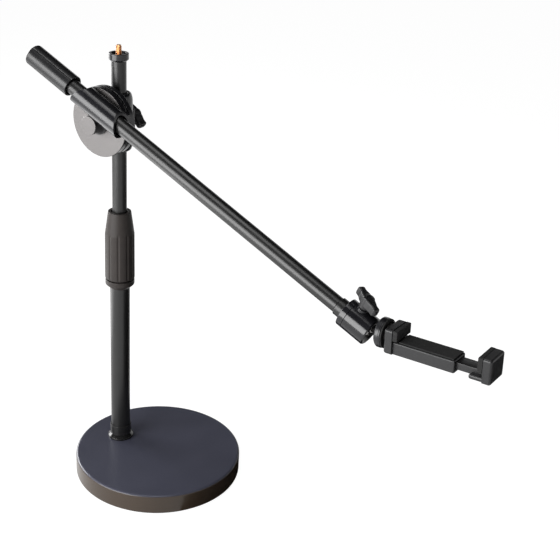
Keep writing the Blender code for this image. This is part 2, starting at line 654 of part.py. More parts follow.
def add_pole_clamp(look, mast):
    """The split liner, and the housing that swivels on it and carries the rear tilt disc."""
    slide = add_frame("clamp_slide", mast, (0, 0, PIVOT_UP))
    low = -CLAMP_DOWN + LINER_SHORT
    high = CLAMP_UP - LINER_SHORT
    liner = ring(UPPER_R + RUN_GAP, LINER_R, low, high)
    liner = add_piece("pole_liner", liner, look["black_plastic"], slide)
    add_slit(liner, LINER_SLIT, UPPER_R, LINER_R, low, high, slide)

    swivel = add_frame("clamp_swivel", slide, (0, 0, 0))
    lip = CLAMP_BORE + CLAMP_LIP
    swell = CLAMP_R - lip
    outline = [(0, -CLAMP_DOWN)]
    for i in range(EDGE_STEPS + 2):
        angle = math.pi / 2 * i / (EDGE_STEPS + 1)
        rise = CLAMP_ROUND_BOTTOM * (1 - math.cos(angle))
        outline.append((lip + swell * math.sin(angle), -CLAMP_DOWN + rise))
    for i in range(EDGE_STEPS + 2):
        angle = math.pi / 2 * (1 - i / (EDGE_STEPS + 1))
        drop = CLAMP_ROUND_TOP * (1 - math.cos(angle))
        outline.append((lip + swell * math.sin(angle), CLAMP_UP - drop))
    outline.append((0, CLAMP_UP))
    housing = add_piece("clamp_housing", lathe(outline), look["black_casting"], swivel)
    outline = [(0, 0), (HUB_ROOT_R, 0), (HUB_R, REAR_DISC_BACK), (DISC_R - DISC_EDGE, REAR_DISC_BACK),
               (DISC_R, REAR_DISC_BACK + DISC_EDGE), (DISC_R, REAR_DISC_FACE - DISC_EDGE),
               (DISC_R - DISC_EDGE, REAR_DISC_FACE), (0, REAR_DISC_FACE)]
    join(housing, add_piece("rear_disc", lathe(outline, DISC_SIDES, 0.5), None, swivel, turn=TOWARDS_ARM))
    half = BOSS_W / 2
    boss_face = CLAMP_R + BOSS_PROUD
    boss_low = (-half, CLAMP_BORE / 2, -BOSS_DROP - BOSS_H / 2)
    boss_high = (half, boss_face, -BOSS_DROP + BOSS_H / 2)
    boss = block(boss_low, boss_high, BOSS_EDGE)
    join(housing, add_piece("knob_boss", boss, None, swivel))
    bore = rod(CLAMP_BORE, -CLAMP_DOWN - SEAT_GAP, CLAMP_UP + SEAT_GAP, ROUND_SIDES, 0.5)
    cut(housing, add_piece("clamp_bore", bore, None, swivel))
    bolt_end = REAR_DISC_FACE - TILT_BOLT_IN
    bolt_hole = rod(TILT_BOLT_R + SEAT_GAP, bolt_end - SEAT_GAP, REAR_DISC_FACE + SEAT_GAP)
    cut(housing, add_piece("tilt_thread", bolt_hole, None, swivel, turn=TOWARDS_ARM))
    shoe_low = LINER_R + SEAT_GAP
    shoe_high = shoe_low + SHOE_T
    at = (0, 0, -BOSS_DROP)
    shoe_hole = rod(SHOE_R + SEAT_GAP, CLAMP_BORE / 2, shoe_high + SEAT_GAP)
    cut(housing, add_piece("shoe_hole", shoe_hole, None, swivel, at, AWAY_FROM_ARM))
    screw_hole = rod(POLE_SCREW_R + SEAT_GAP, CLAMP_BORE / 2, boss_face + SEAT_GAP)
    cut(housing, add_piece("pole_screw_hole", screw_hole, None, swivel, at, AWAY_FROM_ARM))
    shoe = rod(SHOE_R, shoe_low, shoe_high)
    add_piece("clamp_shoe", shoe, look["white_plastic"], swivel, at, AWAY_FROM_ARM)
    friction_face = FRICTION_BACK + FRICTION_T
    washer = ring(TILT_BOLT_R + SEAT_GAP, DISC_R - FRICTION_INSET, FRICTION_BACK, friction_face)
    add_piece("friction_washer", washer, look["rubber"], swivel, turn=TOWARDS_ARM)

    knob_turn = add_frame("pole_knob_turn", swivel, (0, boss_face, -BOSS_DROP))
    knob_at = (0, KNOB_STANDOFF, 0)
    turn = (-math.pi / 2, POLE_KNOB_TURN, 0)
    black = look["black_plastic"]
    add_wing_knob("pole_knob", black, knob_turn, knob_at, turn, POLE_SCREW_R, POLE_WING_LIFT)
    screw = rod(POLE_SCREW_R, shoe_high + SEAT_GAP - boss_face, KNOB_STANDOFF + SCREW_IN_KNOB)
    add_piece("pole_knob_screw", screw, look["steel"], knob_turn, turn=AWAY_FROM_ARM)
    return swivel


def add_tilt_joint(look, swivel):
    """The front tilt disc with the arm's sleeve, and the bolt, washer and knob that lock it."""
    tilt = add_frame("arm_tilt", swivel, (0, 0, 0), (0, ARM_TILT, 0))
    outline = [(0, FRONT_DISC_BACK), (DISC_R - DISC_EDGE, FRONT_DISC_BACK),
               (DISC_R, FRONT_DISC_BACK + DISC_EDGE), (DISC_R, FRONT_DISC_FACE - DISC_EDGE),
               (DISC_R - DISC_EDGE, FRONT_DISC_FACE), (0, FRONT_DISC_FACE)]
    holder = add_piece("arm_holder", lathe(outline, DISC_SIDES), look["bare_disc"], tilt, turn=TOWARDS_ARM)
    axis = (0, -ARM_SIDE, ARM_ABOVE)
    reach = 2 * SLEEVE_TRIM_R
    sleeve = add_piece("sleeve", rod(SLEEVE_R, -reach, reach, ROUND_SIDES), None, tilt, axis, ALONG_X)
    web_low = (-reach, -ARM_SIDE, ARM_ABOVE - WEB_H / 2)
    web_high = (reach, -FRONT_DISC_FACE + FRONT_DISC_T / 2, ARM_ABOVE + WEB_H / 2)
    join(sleeve, add_piece("sleeve_web", block(web_low, web_high), None, tilt))
    trim = rod(SLEEVE_TRIM_R, 0, 2 * ARM_SIDE, DISC_SIDES)
    trim_at = (SLEEVE_TRIM_AHEAD, 0, SLEEVE_TRIM_UP)
    combine(sleeve, add_piece("sleeve_trim", trim, None, tilt, trim_at, TOWARDS_ARM), "INTERSECT")
    join(holder, sleeve)
    bore = rod(SLEEVE_BORE, -reach, reach, ROUND_SIDES)
    cut(holder, add_piece("sleeve_bore", bore, None, tilt, axis, ALONG_X))
    hole = rod(TILT_BOLT_R + SEAT_GAP, FRONT_DISC_BACK - SEAT_GAP, FRONT_DISC_FACE + SEAT_GAP)
    cut(holder, add_piece("holder_bolt_hole", hole, None, tilt, turn=TOWARDS_ARM))
    washer_face = TILT_WASHER_BACK + TILT_WASHER_T
    washer = ring(TILT_BOLT_R + SEAT_GAP, TILT_WASHER_R, TILT_WASHER_BACK, washer_face, SMALL_SIDES)
    add_piece("tilt_washer", washer, look["steel"], tilt, turn=TOWARDS_ARM)

    knob_turn = add_frame("tilt_knob_turn", swivel, (0, -TILT_KNOB_BACK, 0))
    flare = TILT_KNOB_R + TILT_KNOB_FLARE
    outline = [(0, 0), (flare, 0), (flare, TILT_KNOB_RIM)]
    for i in range(1, EDGE_STEPS + 1):
        angle = math.pi / 2 * i / EDGE_STEPS
        height = TILT_KNOB_RIM + (TILT_KNOB_FLARE_LEN - TILT_KNOB_RIM) * (1 - math.cos(angle))
        outline.append((TILT_KNOB_R + TILT_KNOB_FLARE * (1 - math.sin(angle)), height))
    outline += [(TILT_KNOB_R, TILT_KNOB_LEN), (0, TILT_KNOB_LEN)]
    knob = add_piece("tilt_knob", lathe(outline), look["black_plastic"], knob_turn, turn=TOWARDS_ARM)
    hole = rod(TILT_BOLT_R + SEAT_GAP, -SEAT_GAP, TILT_BOLT_IN_KNOB + SEAT_GAP)
    cut(knob, add_piece("tilt_knob_hole", hole, None, knob_turn, turn=TOWARDS_ARM))
    cap_low = TILT_KNOB_LEN + SEAT_GAP
    cap = chamfered_rod(TILT_KNOB_R, cap_low, cap_low + TILT_CAP_T, TILT_CAP_EDGE, ROUND_SIDES)
    add_piece("tilt_knob_cap", cap, look["bare_disc"], knob_turn, turn=TOWARDS_ARM)
    bolt = rod(TILT_BOLT_R, REAR_DISC_FACE - TILT_BOLT_IN - TILT_KNOB_BACK, TILT_BOLT_IN_KNOB)
    add_piece("tilt_bolt", bolt, look["steel"], knob_turn, turn=TOWARDS_ARM)
    return tilt


def add_arm(look, tilt):
    """The split bush that rolls in the sleeve, and the tube that slides through it."""
    roll = add_frame("arm_roll", tilt, (0, -ARM_SIDE, ARM_ABOVE))
    low = SLEEVE_TRIM_AHEAD - BUSH_HALF
    high = SLEEVE_TRIM_AHEAD + BUSH_HALF
    bush = ring(ARM_R + RUN_GAP, ARM_BUSH_R, low, high)
    bush = add_piece("arm_bush", bush, look["black_plastic"], roll, turn=ALONG_X)
    add_slit(bush, ARM_BUSH_SLIT, ARM_R, ARM_BUSH_R, low, high, roll, ALONG_X)

    arm = add_frame("arm_slide", roll, (0, 0, 0))
    tube = ring(ARM_BORE, ARM_R, X_ARM_REAR, ARM_REACH)
    add_piece("arm_tube", tube, look["satin_black"], arm, turn=ALONG_X)
    rear = X_ARM_REAR - SEAT_GAP
    plug = ARM_BORE - SEAT_GAP
    outline = [(0, rear - TAIL_PLUG_FLANGE), (ARM_R, rear - TAIL_PLUG_FLANGE), (ARM_R, rear), (plug, rear),
               (plug, rear + TAIL_PLUG_LEN), (0, rear + TAIL_PLUG_LEN)]
    add_piece("tail_plug", lathe(outline, SMALL_SIDES), look["black_plastic"], arm, turn=ALONG_X)

    bore = ARM_R + SEAT_GAP
    mouth = ARM_R + GRIP_MOUTH_GAP
    outline = [(0, X_GRIP_REAR)]
    outline += arc((GRIP_R - GRIP_EDGE, X_GRIP_REAR + GRIP_EDGE), GRIP_EDGE, -90, 0)
    outline += arc((GRIP_R - GRIP_EDGE, X_GRIP_FRONT - GRIP_EDGE), GRIP_EDGE, 0, 90)
    outline += [(mouth, X_GRIP_FRONT), (mouth, X_GRIP_FRONT - GRIP_MOUTH_DEPTH),
                (bore, X_GRIP_FRONT - GRIP_MOUTH_DEPTH), (bore, X_GRIP_REAR + GRIP_END),
                (0, X_GRIP_REAR + GRIP_END)]
    grip = add_piece("arm_grip", lathe(outline), look["black_plastic"], arm, turn=ALONG_X)
    for i in range(GRIP_GROOVES):
        angle = GRIP_GROOVE_TURN + 2 * math.pi * i / GRIP_GROOVES
        tool = rod(GRIP_GROOVE_DEPTH, X_GRIP_REAR - SEAT_GAP, X_GRIP_FRONT + SEAT_GAP, 4)
        spin = (math.cos(angle), math.sin(angle))
        at = (0, GRIP_R * spin[0], GRIP_R * spin[1])
        groove = add_piece("grip_groove_%d" % i, tool, None, arm, at, (angle, math.pi / 2, 0))
        groove.rotation_mode = "YXZ"
        cut(grip, groove)

    ring_end = X_RING + END_RING_LEN
    stud_end = X_CAVITY - END_STUD_SHORT
    edge = END_RING_EDGE
    plug_end = ARM_REACH - END_PLUG_LEN
    outline = [(0, plug_end), (plug, plug_end), (plug, X_RING), (END_RING_R - edge, X_RING),
               (END_RING_R, X_RING + edge), (END_RING_R, ring_end - edge), (END_RING_R - edge, ring_end),
               (END_STUD_R, ring_end), (END_STUD_R, stud_end), (0, stud_end)]
    add_piece("arm_end_fitting", lathe(outline), look["satin_black"], arm, turn=ALONG_X)
    return arm


def add_ball_housing(look, arm):
    """The ball's housing with its shoe, and the wing knob that locks it."""
    bore = END_STUD_R + SEAT_GAP
    lip_angle = math.degrees(math.asin(LIP_AHEAD / HOUSING_BORE))
    seam = X_HOUSING + HOUSING_SEAM_AT
    edge = HOUSING_REAR_EDGE
    outline = [(bore, X_HOUSING), (HOUSING_R - edge, X_HOUSING), (HOUSING_R, X_HOUSING + edge),
               (HOUSING_R, seam), (HOUSING_R - HOUSING_SEAM, seam + HOUSING_SEAM / 2),
               (HOUSING_R, seam + HOUSING_SEAM), (HOUSING_R, X_HOUSING_FRONT - HOUSING_CHAMFER),
               (HOUSING_R - HOUSING_CHAMFER, X_HOUSING_FRONT)]
    outline += reversed(arc((0, X_BALL), HOUSING_BORE, 0, lip_angle))
    outline += [(HOUSING_BORE, X_CAVITY), (bore, X_CAVITY)]
    housing = add_piece("ball_housing", lathe(outline), look["black_casting"], arm, turn=ALONG_X)
    at = (X_BALL_SCREW, 0, 0)
    boss = chamfered_rod(BALL_BOSS_R, HOUSING_BORE + BALL_BOSS_ROOT, BALL_BOSS_TOP, HOUSING_SEAM)
    join(housing, add_piece("ball_boss", boss, None, arm, at))
    hole = rod(BALL_SCREW_R + SEAT_GAP, HOUSING_BORE / 2, BALL_BOSS_TOP + SEAT_GAP)
    cut(housing, add_piece("ball_screw_hole", hole, None, arm, at))
    nearest = BALL_SCREW_BACK - BALL_SCREW_R
    shoe_low = math.sqrt(BALL_R ** 2 - nearest ** 2) + SEAT_GAP
    shoe_high = shoe_low + BALL_SHOE_T
    add_piece("ball_shoe", rod(BALL_SCREW_R, shoe_low, shoe_high), look["white_plastic"], arm, at)

    knob_turn = add_frame("ball_knob_turn", arm, at)
    knob_low = BALL_BOSS_TOP + BALL_KNOB_LIFT
    turn = (0, 0, BALL_KNOB_TURN)
    knob_at = (0, 0, knob_low)
    black = look["black_plastic"]
    add_wing_knob("ball_knob", black, knob_turn, knob_at, turn, BALL_SCREW_R, BALL_WING_LIFT)
    screw = rod(BALL_SCREW_R, shoe_high + SEAT_GAP, knob_low + SCREW_IN_KNOB)
    add_piece("ball_knob_screw", screw, look["steel"], knob_turn)


def add_ball(look, arm):
    """The seat that pans in the housing, the ball on its neck, and the platform."""
    pan = add_frame("ball_pan", arm, (X_BALL, 0, 0))
    rim_angle = math.degrees(math.acos(SEAT_R / HOUSING_BORE))
    rear = X_SEAT_REAR - X_BALL
    outline = [(0, rear), (SEAT_R, rear)]
    outline += arc((0, 0), HOUSING_BORE, -rim_angle, -90)
    add_piece("ball_seat", lathe(outline), look["white_plastic"], pan, turn=ALONG_X)

    tilt = add_frame("ball_tilt", pan, (0, 0, 0), (0, HOLDER_PITCH - ARM_TILT, 0))
    neck_angle = math.degrees(math.acos(NECK_R / BALL_R))
    stud_end = X_FOOT + PLATFORM_STUD_LEN
    outline = arc((0, 0), BALL_R, -90, neck_angle, 3 * EDGE_STEPS)
    outline += [(NECK_FLARE_R, NECK_REACH), (STUD_R, NECK_REACH), (STUD_R, stud_end), (0, stud_end)]
    add_piece("ball_stem", lathe(outline), look["steel"], tilt, turn=ALONG_X)
    hole = STUD_R + SEAT_GAP
    edge = PLATFORM_EDGE
    top = X_PLATFORM + PLATFORM_T
    outline = [(hole, X_PLATFORM), (PLATFORM_R - edge, X_PLATFORM), (PLATFORM_R, X_PLATFORM + edge),
               (PLATFORM_R, top - edge), (PLATFORM_R - edge, top), (hole, top)]
    add_piece("platform", lathe(outline), look["black_casting"], tilt, turn=ALONG_X)
    pad = ring(hole, PLATFORM_R - PLATFORM_PAD_INSET, X_PLATFORM_PAD, X_PLATFORM_PAD + PLATFORM_PAD_T)
    add_piece("platform_pad", pad, look["rubber"], tilt, turn=ALONG_X)
    return tilt


def add_phone_tray(look, turn):
    """The clamp's foot, its fixed jaw with the tray and channel, the cover and the pads."""
    hole = STUD_R + SEAT_GAP
    foot_end = X_FOOT + CLAMP_FOOT_T
    hole_end = X_FOOT + PLATFORM_STUD_LEN + SEAT_GAP
    edge = CLAMP_FOOT_EDGE
    outline = [(hole, X_FOOT), (CLAMP_FOOT_R - edge, X_FOOT), (CLAMP_FOOT_R, X_FOOT + edge),
               (CLAMP_FOOT_R, foot_end), (TENON_R, foot_end), (TENON_R, foot_end + TENON_LEN),
               (0, foot_end + TENON_LEN), (0, hole_end), (hole, hole_end)]
    add_piece("clamp_foot", lathe(outline), look["steel"], turn, turn=ALONG_X)

    half = JAW_W / 2
    jaw = block((X_JAW, -half, -JAW_BOTTOM), (X_JAW_FACE + JAW_EDGE, half, JAW_TOP), JAW_EDGE)
    tray = add_piece("phone_tray", jaw, look["black_plastic"], turn)
    trim = block((X_JAW_FACE, -JAW_W, -2 * JAW_BOTTOM), (X_JAW_FACE + JAW_W, JAW_W, 2 * JAW_TOP))
    cut(tray, add_piece("jaw_trim", trim, None, turn))
    half = TRAY_W / 2
    floor = block((X_JAW + JAW_EDGE, -half, -JAW_BOTTOM), (X_TRAY_END, half, TRAY_TOP), TRAY_EDGE)
    join(tray, add_piece("tray_floor", floor, None, turn))
    half = BAR_W / 2 + RUN_GAP
    below = -JAW_BOTTOM - SEAT_GAP
    beyond = X_TRAY_END + SEAT_GAP
    channel = block((X_CHANNEL, -half, below), (beyond, half, Z_BAR_TOP + RUN_GAP))
    cut(tray, add_piece("tray_channel", channel, None, turn))
    half = COVER_W / 2 + SEAT_GAP
    cover_low = X_JAW + JAW_EDGE
    rebate = block((cover_low, -half, below), (beyond, half, Z_COVER_TOP))
    cut(tray, add_piece("cover_rebate", rebate, None, turn))
    pocket = rod(TENON_R + SEAT_GAP, X_JAW - SEAT_GAP, foot_end + TENON_LEN + SEAT_GAP)
    cut(tray, add_piece("tenon_pocket", pocket, None, turn, turn=ALONG_X))
    peg_top = Z_BAR_TOP + RUN_GAP + PEG_IN_TRAY
    peg_at = (X_TRAY_PEG, 0, 0)
    peg_hole = rod(PEG_R + SEAT_GAP, Z_BAR, peg_top + SEAT_GAP, PIN_SIDES)
    cut(tray, add_piece("peg_hole", peg_hole, None, turn, peg_at))
    peg = rod(PEG_R, Z_COVER_TOP + SEAT_GAP, peg_top, PIN_SIDES)
    add_piece("spring_peg", peg, look["steel"], turn, peg_at)

    half = COVER_W / 2
    cover = block((cover_low + SEAT_GAP, -half, Z_COVER), (X_TRAY_END, half, Z_COVER_TOP - SEAT_GAP))
    cover = add_piece("tray_cover", cover, look["black_plastic"], turn)
    head_top = Z_COVER + COVER_SCREW_HEAD_T
    for i in range(COVER_SCREWS):
        side = COVER_SCREW_SPREAD * (2 * i / (COVER_SCREWS - 1) - 1)
        at = ((foot_end + TENON_LEN + X_CHANNEL) / 2, side, 0)
        name = "cover_screw_%d" % (i + 1)
        screw_top = Z_COVER + COVER_SCREW_LEN
        outline = [(0, Z_COVER), (COVER_SCREW_HEAD_R, Z_COVER), (COVER_SCREW_HEAD_R, head_top),
                   (COVER_SCREW_R, head_top), (COVER_SCREW_R, screw_top), (0, screw_top)]
        add_piece(name, lathe(outline, PIN_SIDES), look["steel"], turn, at)
        shank_hole = rod(COVER_SCREW_R + SEAT_GAP, Z_COVER - SEAT_GAP, screw_top + SEAT_GAP, PIN_SIDES)
        shank_hole = add_piece(name + "_hole", shank_hole, None, turn, at)
        head_hole = rod(COVER_SCREW_HEAD_R + SEAT_GAP, Z_COVER - SEAT_GAP, head_top + SEAT_GAP, PIN_SIDES)
        head_hole = add_piece(name + "_sink", head_hole, None, turn, at)
        cut(cover, shank_hole)
        cut(cover, head_hole)
        cut(tray, shank_hole)


def add_phone_clamp(look, ball):
    """The phone clamp: it turns on the platform's screw, and its sprung jaw slides."""
    turn = add_frame("holder_turn", ball, (0, 0, 0))
    add_phone_tray(look, turn)
    inset = JAW_PAD_INSET
    half = JAW_W / 2 - inset
    low = TRAY_TOP + TRAY_PAD_T + 2 * SEAT_GAP
    pad = block((X_FIXED_PAD, -half, low), (X_GAP_LOW, half, JAW_TOP - inset), JAW_PAD_EDGE)
    add_piece("fixed_jaw_pad", pad, look["rubber"], turn)
    half = TRAY_W / 2 - TRAY_EDGE
    low = TRAY_TOP + SEAT_GAP
    pad = block((X_GAP_LOW + SEAT_GAP, -half, low), (X_TRAY_END - TRAY_EDGE, half, low + TRAY_PAD_T))
    add_piece("tray_pad", pad, look["rubber"], turn)

    slide = add_frame("jaw_slide", turn, (X_MOVING_FACE, 0, 0))
    half = JAW_W / 2
    jaw = block((-JAW_EDGE, -half, -JAW_BOTTOM), (JAW_T, half, JAW_TOP), JAW_EDGE)
    jaw = add_piece("moving_jaw", jaw, look["black_plastic"], slide)
    trim = block((-JAW_W, -JAW_W, -2 * JAW_BOTTOM), (0, JAW_W, 2 * JAW_TOP))
    cut(jaw, add_piece("moving_jaw_trim", trim, None, slide))
    half = BAR_W / 2
    bar = block((-BAR_LEN, -half, Z_BAR), (JAW_EDGE, half, Z_BAR_TOP), BAR_EDGE, 1)
    join(jaw, add_piece("jaw_bar", bar, None, slide))
    half = JAW_W / 2 - JAW_TOE_INSET
    toe_bottom = -JAW_BOTTOM + JAW_TOE_RISE
    toe_low = (-JAW_TOE_LEN, -half, toe_bottom)
    toe_high = (JAW_T / 2, half, toe_bottom + JAW_TOE_T)
    join(jaw, add_piece("jaw_toe", block(toe_low, toe_high, JAW_TOE_EDGE), None, slide))
    peg_x = -JAW_PEG_BACK
    bore = rod(SPRING_BORE, -BAR_LEN - SEAT_GAP, peg_x + PEG_ROOM)
    cut(jaw, add_piece("spring_bore", bore, None, slide, (0, 0, Z_SPRING), ALONG_X))
    peg_hole = rod(PEG_R + SEAT_GAP, Z_BAR - SEAT_GAP, Z_BAR_TOP - BAR_EDGE, PIN_SIDES)
    cut(jaw, add_piece("jaw_peg_hole", peg_hole, None, slide, (peg_x, 0, 0)))
    peg = rod(PEG_R, Z_BAR, Z_BAR_TOP - BAR_EDGE - SEAT_GAP, PIN_SIDES)
    add_piece("jaw_peg", peg, look["steel"], slide, (peg_x, 0, 0))
    inset = JAW_PAD_INSET
    half = JAW_W / 2 - inset
    low = Z_BAR_TOP + SEAT_GAP
    pad = block((-SEAT_GAP - JAW_PAD_T, -half, low), (-SEAT_GAP, half, JAW_TOP - inset), JAW_PAD_EDGE)
    add_piece("moving_jaw_pad", pad, look["rubber"], slide)
    add_jaw_spring(look, turn)


def add_jaw_spring(look, turn):
    """The extension spring that pulls the jaw shut, hooked round both pegs."""
    reach = PEG_R + SEAT_GAP + SPRING_WIRE_R
    half = reach / 2
    start = X_TRAY_PEG + 2 * reach
    end = X_JAW_PEG - 2 * reach
    points = [(X_TRAY_PEG - reach, 0, 0), (X_TRAY_PEG - half, reach, 0), (X_TRAY_PEG + half, reach, 0)]
    count = SPRING_TURNS * SPRING_STEPS
    for i in range(count + 1):
        angle = 2 * math.pi * i / SPRING_STEPS
        along = start + (end - start) * i / count
        points.append((along, SPRING_R * math.cos(angle), SPRING_R * math.sin(angle)))
    points += [(X_JAW_PEG - half, reach, 0), (X_JAW_PEG + half, reach, 0), (X_JAW_PEG + reach, 0, 0)]
    curve = bpy.data.curves.new("jaw_spring", "CURVE")
    curve.dimensions = "3D"
    curve.bevel_depth = SPRING_WIRE_R
    curve.bevel_resolution = 0
    curve.use_fill_caps = True
    spline = curve.splines.new("POLY")
    spline.points.add(len(points) - 1)
    for target, (x, y, z) in zip(spline.points, points):
        target.co = (x, y, z, 1.0)
    curve.materials.append(look["steel"])
    spring = bpy.data.objects.new("jaw_spring", curve)
    bpy.context.collection.objects.link(spring)
    spring.parent = turn
    spring.location = (0, 0, Z_SPRING)


def main():
    clear_scene()
    look = make_finishes()
    root = add_base(look)
    add_lower_pole(look, root)
    add_collar(look, root)
    mast = add_mast(look, root)
    swivel = add_pole_clamp(look, mast)
    tilt = add_tilt_joint(look, swivel)
    arm = add_arm(look, tilt)
    add_ball_housing(look, arm)
    ball = add_ball(look, arm)
    add_phone_clamp(look, ball)


main()
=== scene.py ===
"""A boom phone stand's detailed pieces, finishes and stage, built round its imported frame."""

import json
import math

import bmesh
import bpy
from bpy.props import FloatProperty, FloatVectorProperty, IntProperty, PointerProperty
from bpy.types import Operator, Panel, PropertyGroup
from mathutils import Matrix, Vector


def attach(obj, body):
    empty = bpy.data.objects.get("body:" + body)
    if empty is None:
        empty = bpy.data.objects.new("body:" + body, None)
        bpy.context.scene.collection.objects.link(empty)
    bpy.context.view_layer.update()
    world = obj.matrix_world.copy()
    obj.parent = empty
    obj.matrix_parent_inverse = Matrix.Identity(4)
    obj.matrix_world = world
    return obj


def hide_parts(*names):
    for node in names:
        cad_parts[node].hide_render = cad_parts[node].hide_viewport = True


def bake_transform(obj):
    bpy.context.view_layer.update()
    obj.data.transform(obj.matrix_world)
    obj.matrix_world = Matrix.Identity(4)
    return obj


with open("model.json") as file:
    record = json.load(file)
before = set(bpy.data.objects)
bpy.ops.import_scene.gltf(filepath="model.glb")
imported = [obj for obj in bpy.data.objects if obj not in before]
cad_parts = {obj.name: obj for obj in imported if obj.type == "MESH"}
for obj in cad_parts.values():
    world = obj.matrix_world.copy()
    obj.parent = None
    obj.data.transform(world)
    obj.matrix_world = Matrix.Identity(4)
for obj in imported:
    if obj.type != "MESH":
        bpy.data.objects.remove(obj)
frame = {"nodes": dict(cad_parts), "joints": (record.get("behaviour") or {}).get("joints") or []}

bl_info = {
    "name": "Boom Phone Stand",
    "version": (1, 0, 0),
    "blender": (4, 5, 0),
    "location": "View3D > Sidebar > Phone Stand",
    "description": "Builds the pieces, finishes and stage of a phone stand with a boom arm",
    "category": "Add Mesh",
}

MM = 0.001
DEG = math.radians(1.0)
MERGE = 0.0005 * MM
SHALLOW = 13.0 * DEG
SHARP = 31.0 * DEG
TAU = math.tau

# Directions in the frame
UP = Vector((0, 0, 1))
EAST = Vector((1, 0, 0))
TO_ARM_SIDE = Vector((0, -1, 0))


def joint(name):
    """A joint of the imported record, by name."""
    return next(entry for entry in frame["joints"] if entry["name"] == name)


def place(at, along, across):
    """A matrix whose own Z lies along one direction and whose X lies across it."""
    z = Vector(along).normalized()
    x = Vector(across).normalized()
    return Matrix.Translation(at) @ Matrix((x, z.cross(x), z)).transposed().to_4x4()


# Places that the pieces are built in, from the joints: each one's own Z is its axis
ARM_DIRECTION = Vector(joint("arm_roll")["axis"])
ARM_UP = Vector((-ARM_DIRECTION.z, 0, ARM_DIRECTION.x))
POLE = Matrix.Identity(4)
PIVOT = Matrix.Translation(joint("arm_tilt")["pos_m"])
REAR_DISC = place(joint("arm_tilt")["pos_m"], TO_ARM_SIDE, EAST)
TILT = place(joint("arm_tilt")["pos_m"], TO_ARM_SIDE, ARM_DIRECTION)
TILT_KNOB = place(joint("tilt_knob_turn")["pos_m"], TO_ARM_SIDE, EAST)
POLE_KNOB = place(joint("pole_knob_turn")["pos_m"], -TO_ARM_SIDE, EAST)
ARM = place(joint("arm_roll")["pos_m"], ARM_DIRECTION, ARM_UP)
BALL_KNOB = place(joint("ball_knob_turn")["pos_m"], ARM_UP, ARM_DIRECTION)
CLAMP_DIRECTION = Vector(joint("holder_turn")["axis"])
CLAMP_UP = Vector((-CLAMP_DIRECTION.z, 0, CLAMP_DIRECTION.x))
BALL = place(joint("ball_tilt")["pos_m"], CLAMP_DIRECTION, CLAMP_UP)
CLAMP = place(joint("holder_turn")["pos_m"], CLAMP_UP, CLAMP_DIRECTION)

# The camera that was fitted to the picture
CAMERA_AT = Vector((780.9, -859.4, 781.2)) * MM
CAMERA_AZIMUTH = 33.28 * DEG
CAMERA_ELEVATION = 25.06 * DEG
CAMERA_ROLL = 3.52 * DEG
CAMERA_LENS = 72.0
SENSOR_WIDTH = 36.0

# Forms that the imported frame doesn't measure by itself
BASE_EDGE = 3.0 * MM
BASE_FOOT_EDGE = 1.2 * MM
BASE_BOLT_R = 4.0 * MM
FOOT_CHAMFER = 2.9 * MM
CLUTCH_CHAMFER = 4.6 * MM
CLUTCH_RING_H = 10.4 * MM
SPIGOT_WALL = 1.75 * MM
COLLAR_TAPER = 26.5 * MM
COLLAR_ROWS = 26
COLLAR_WAIST = 0.25 * MM
FLUTE_FOOT = 1.6 * MM
COLLET_CONE_LEN = 15.0 * MM
COLLET_CONE_FLARE = 2.35 * MM
MOUTH_R = 12.75 * MM
MOUTH_BORE = 9.25 * MM
MOUTH_DEPTH = 5.0 * MM
FLANGE_RIM = 2.8 * MM
FLANGE_H = 7.9 * MM
FLANGE_RECESS = 2.7 * MM
FLANGE_CHAMFER = 1.6 * MM
TUBE_WALL = 1.2 * MM
LINER_SLIT = 1.5 * MM
CLAMP_OVERHANG = 1.5 * MM
CLAMP_R = 14.5 * MM
CLAMP_LIP = 1.2 * MM
CLAMP_ROUND_TOP = 10.0 * MM
CLAMP_ROUND_BOTTOM = 8.5 * MM
HUB_ROOT_R = 13.0 * MM
HUB_R = 19.0 * MM
DISC_STANDOFF = 1.5 * MM
BOSS_W = 17.0 * MM
BOSS_H = 20.0 * MM
BOSS_EDGE = 1.5 * MM
DISC_EDGE = 0.8 * MM
TILT_BOLT_HOLE_R = 3.3 * MM
TILT_THREAD_LEN = 9.7 * MM
CASTING_EDGE = 0.45 * MM
SLEEVE_R = 12.4 * MM
SLEEVE_TRIM_R = 33.2 * MM
SLEEVE_TRIM_AHEAD = 4.8 * MM
SLEEVE_TRIM_UP = 9.8 * MM
WEB_H = 16.0 * MM
KNOB_FLARE_LEN = 8.0 * MM
KNOB_RIM = 1.1 * MM
GRIP_EDGE = 1.5 * MM
GRIP_MOUTH_GAP = 1.9 * MM
GRIP_MOUTH_DEPTH = 4.5 * MM
GRIP_GROOVE_TURN = -60.0 * DEG
END_PIN_R = 4.0 * MM
END_RING_EDGE = 0.6 * MM
BALL_R = 10.5 * MM
BALL_GAP = 0.25 * MM
HOUSING_CHAMFER = 1.5 * MM
HOUSING_SEAM_AT = 6.0 * MM
HOUSING_SEAM = 0.6 * MM
LIP_AHEAD = 5.0 * MM
BALL_BOSS_R = 5.8 * MM
BALL_BOSS_ROOT = 1.6 * MM
BALL_KNOB_GAP = 0.8 * MM
PLATFORM_LIP = 1.6 * MM
PLATFORM_CHAMFER = 1.2 * MM
PLATFORM_STEP = 0.3 * MM
NECK_R = 4.2 * MM
NECK_FLARE_R = 6.4 * MM
STUD_R = 3.175 * MM
STUD_CORE_DEPTH = 0.5 * MM
STUD_THREAD_DEPTH = 0.45 * MM
FOOT_TENON_LEN = 5.2 * MM
FOOT_TENON_R = 5.0 * MM
FOOT_HOLE_DEPTH = 5.8 * MM
JAW_EDGE = 2.5 * MM
JAW_T = 8.4 * MM
JAW_TOE_RISE = 1.2 * MM
JAW_TOE_INSET = 0.3 * MM
JAW_TOE_EDGE = 1.8 * MM
JAW_TOE_T = 4.6 * MM
JAW_TOE_LEN = 13.0 * MM
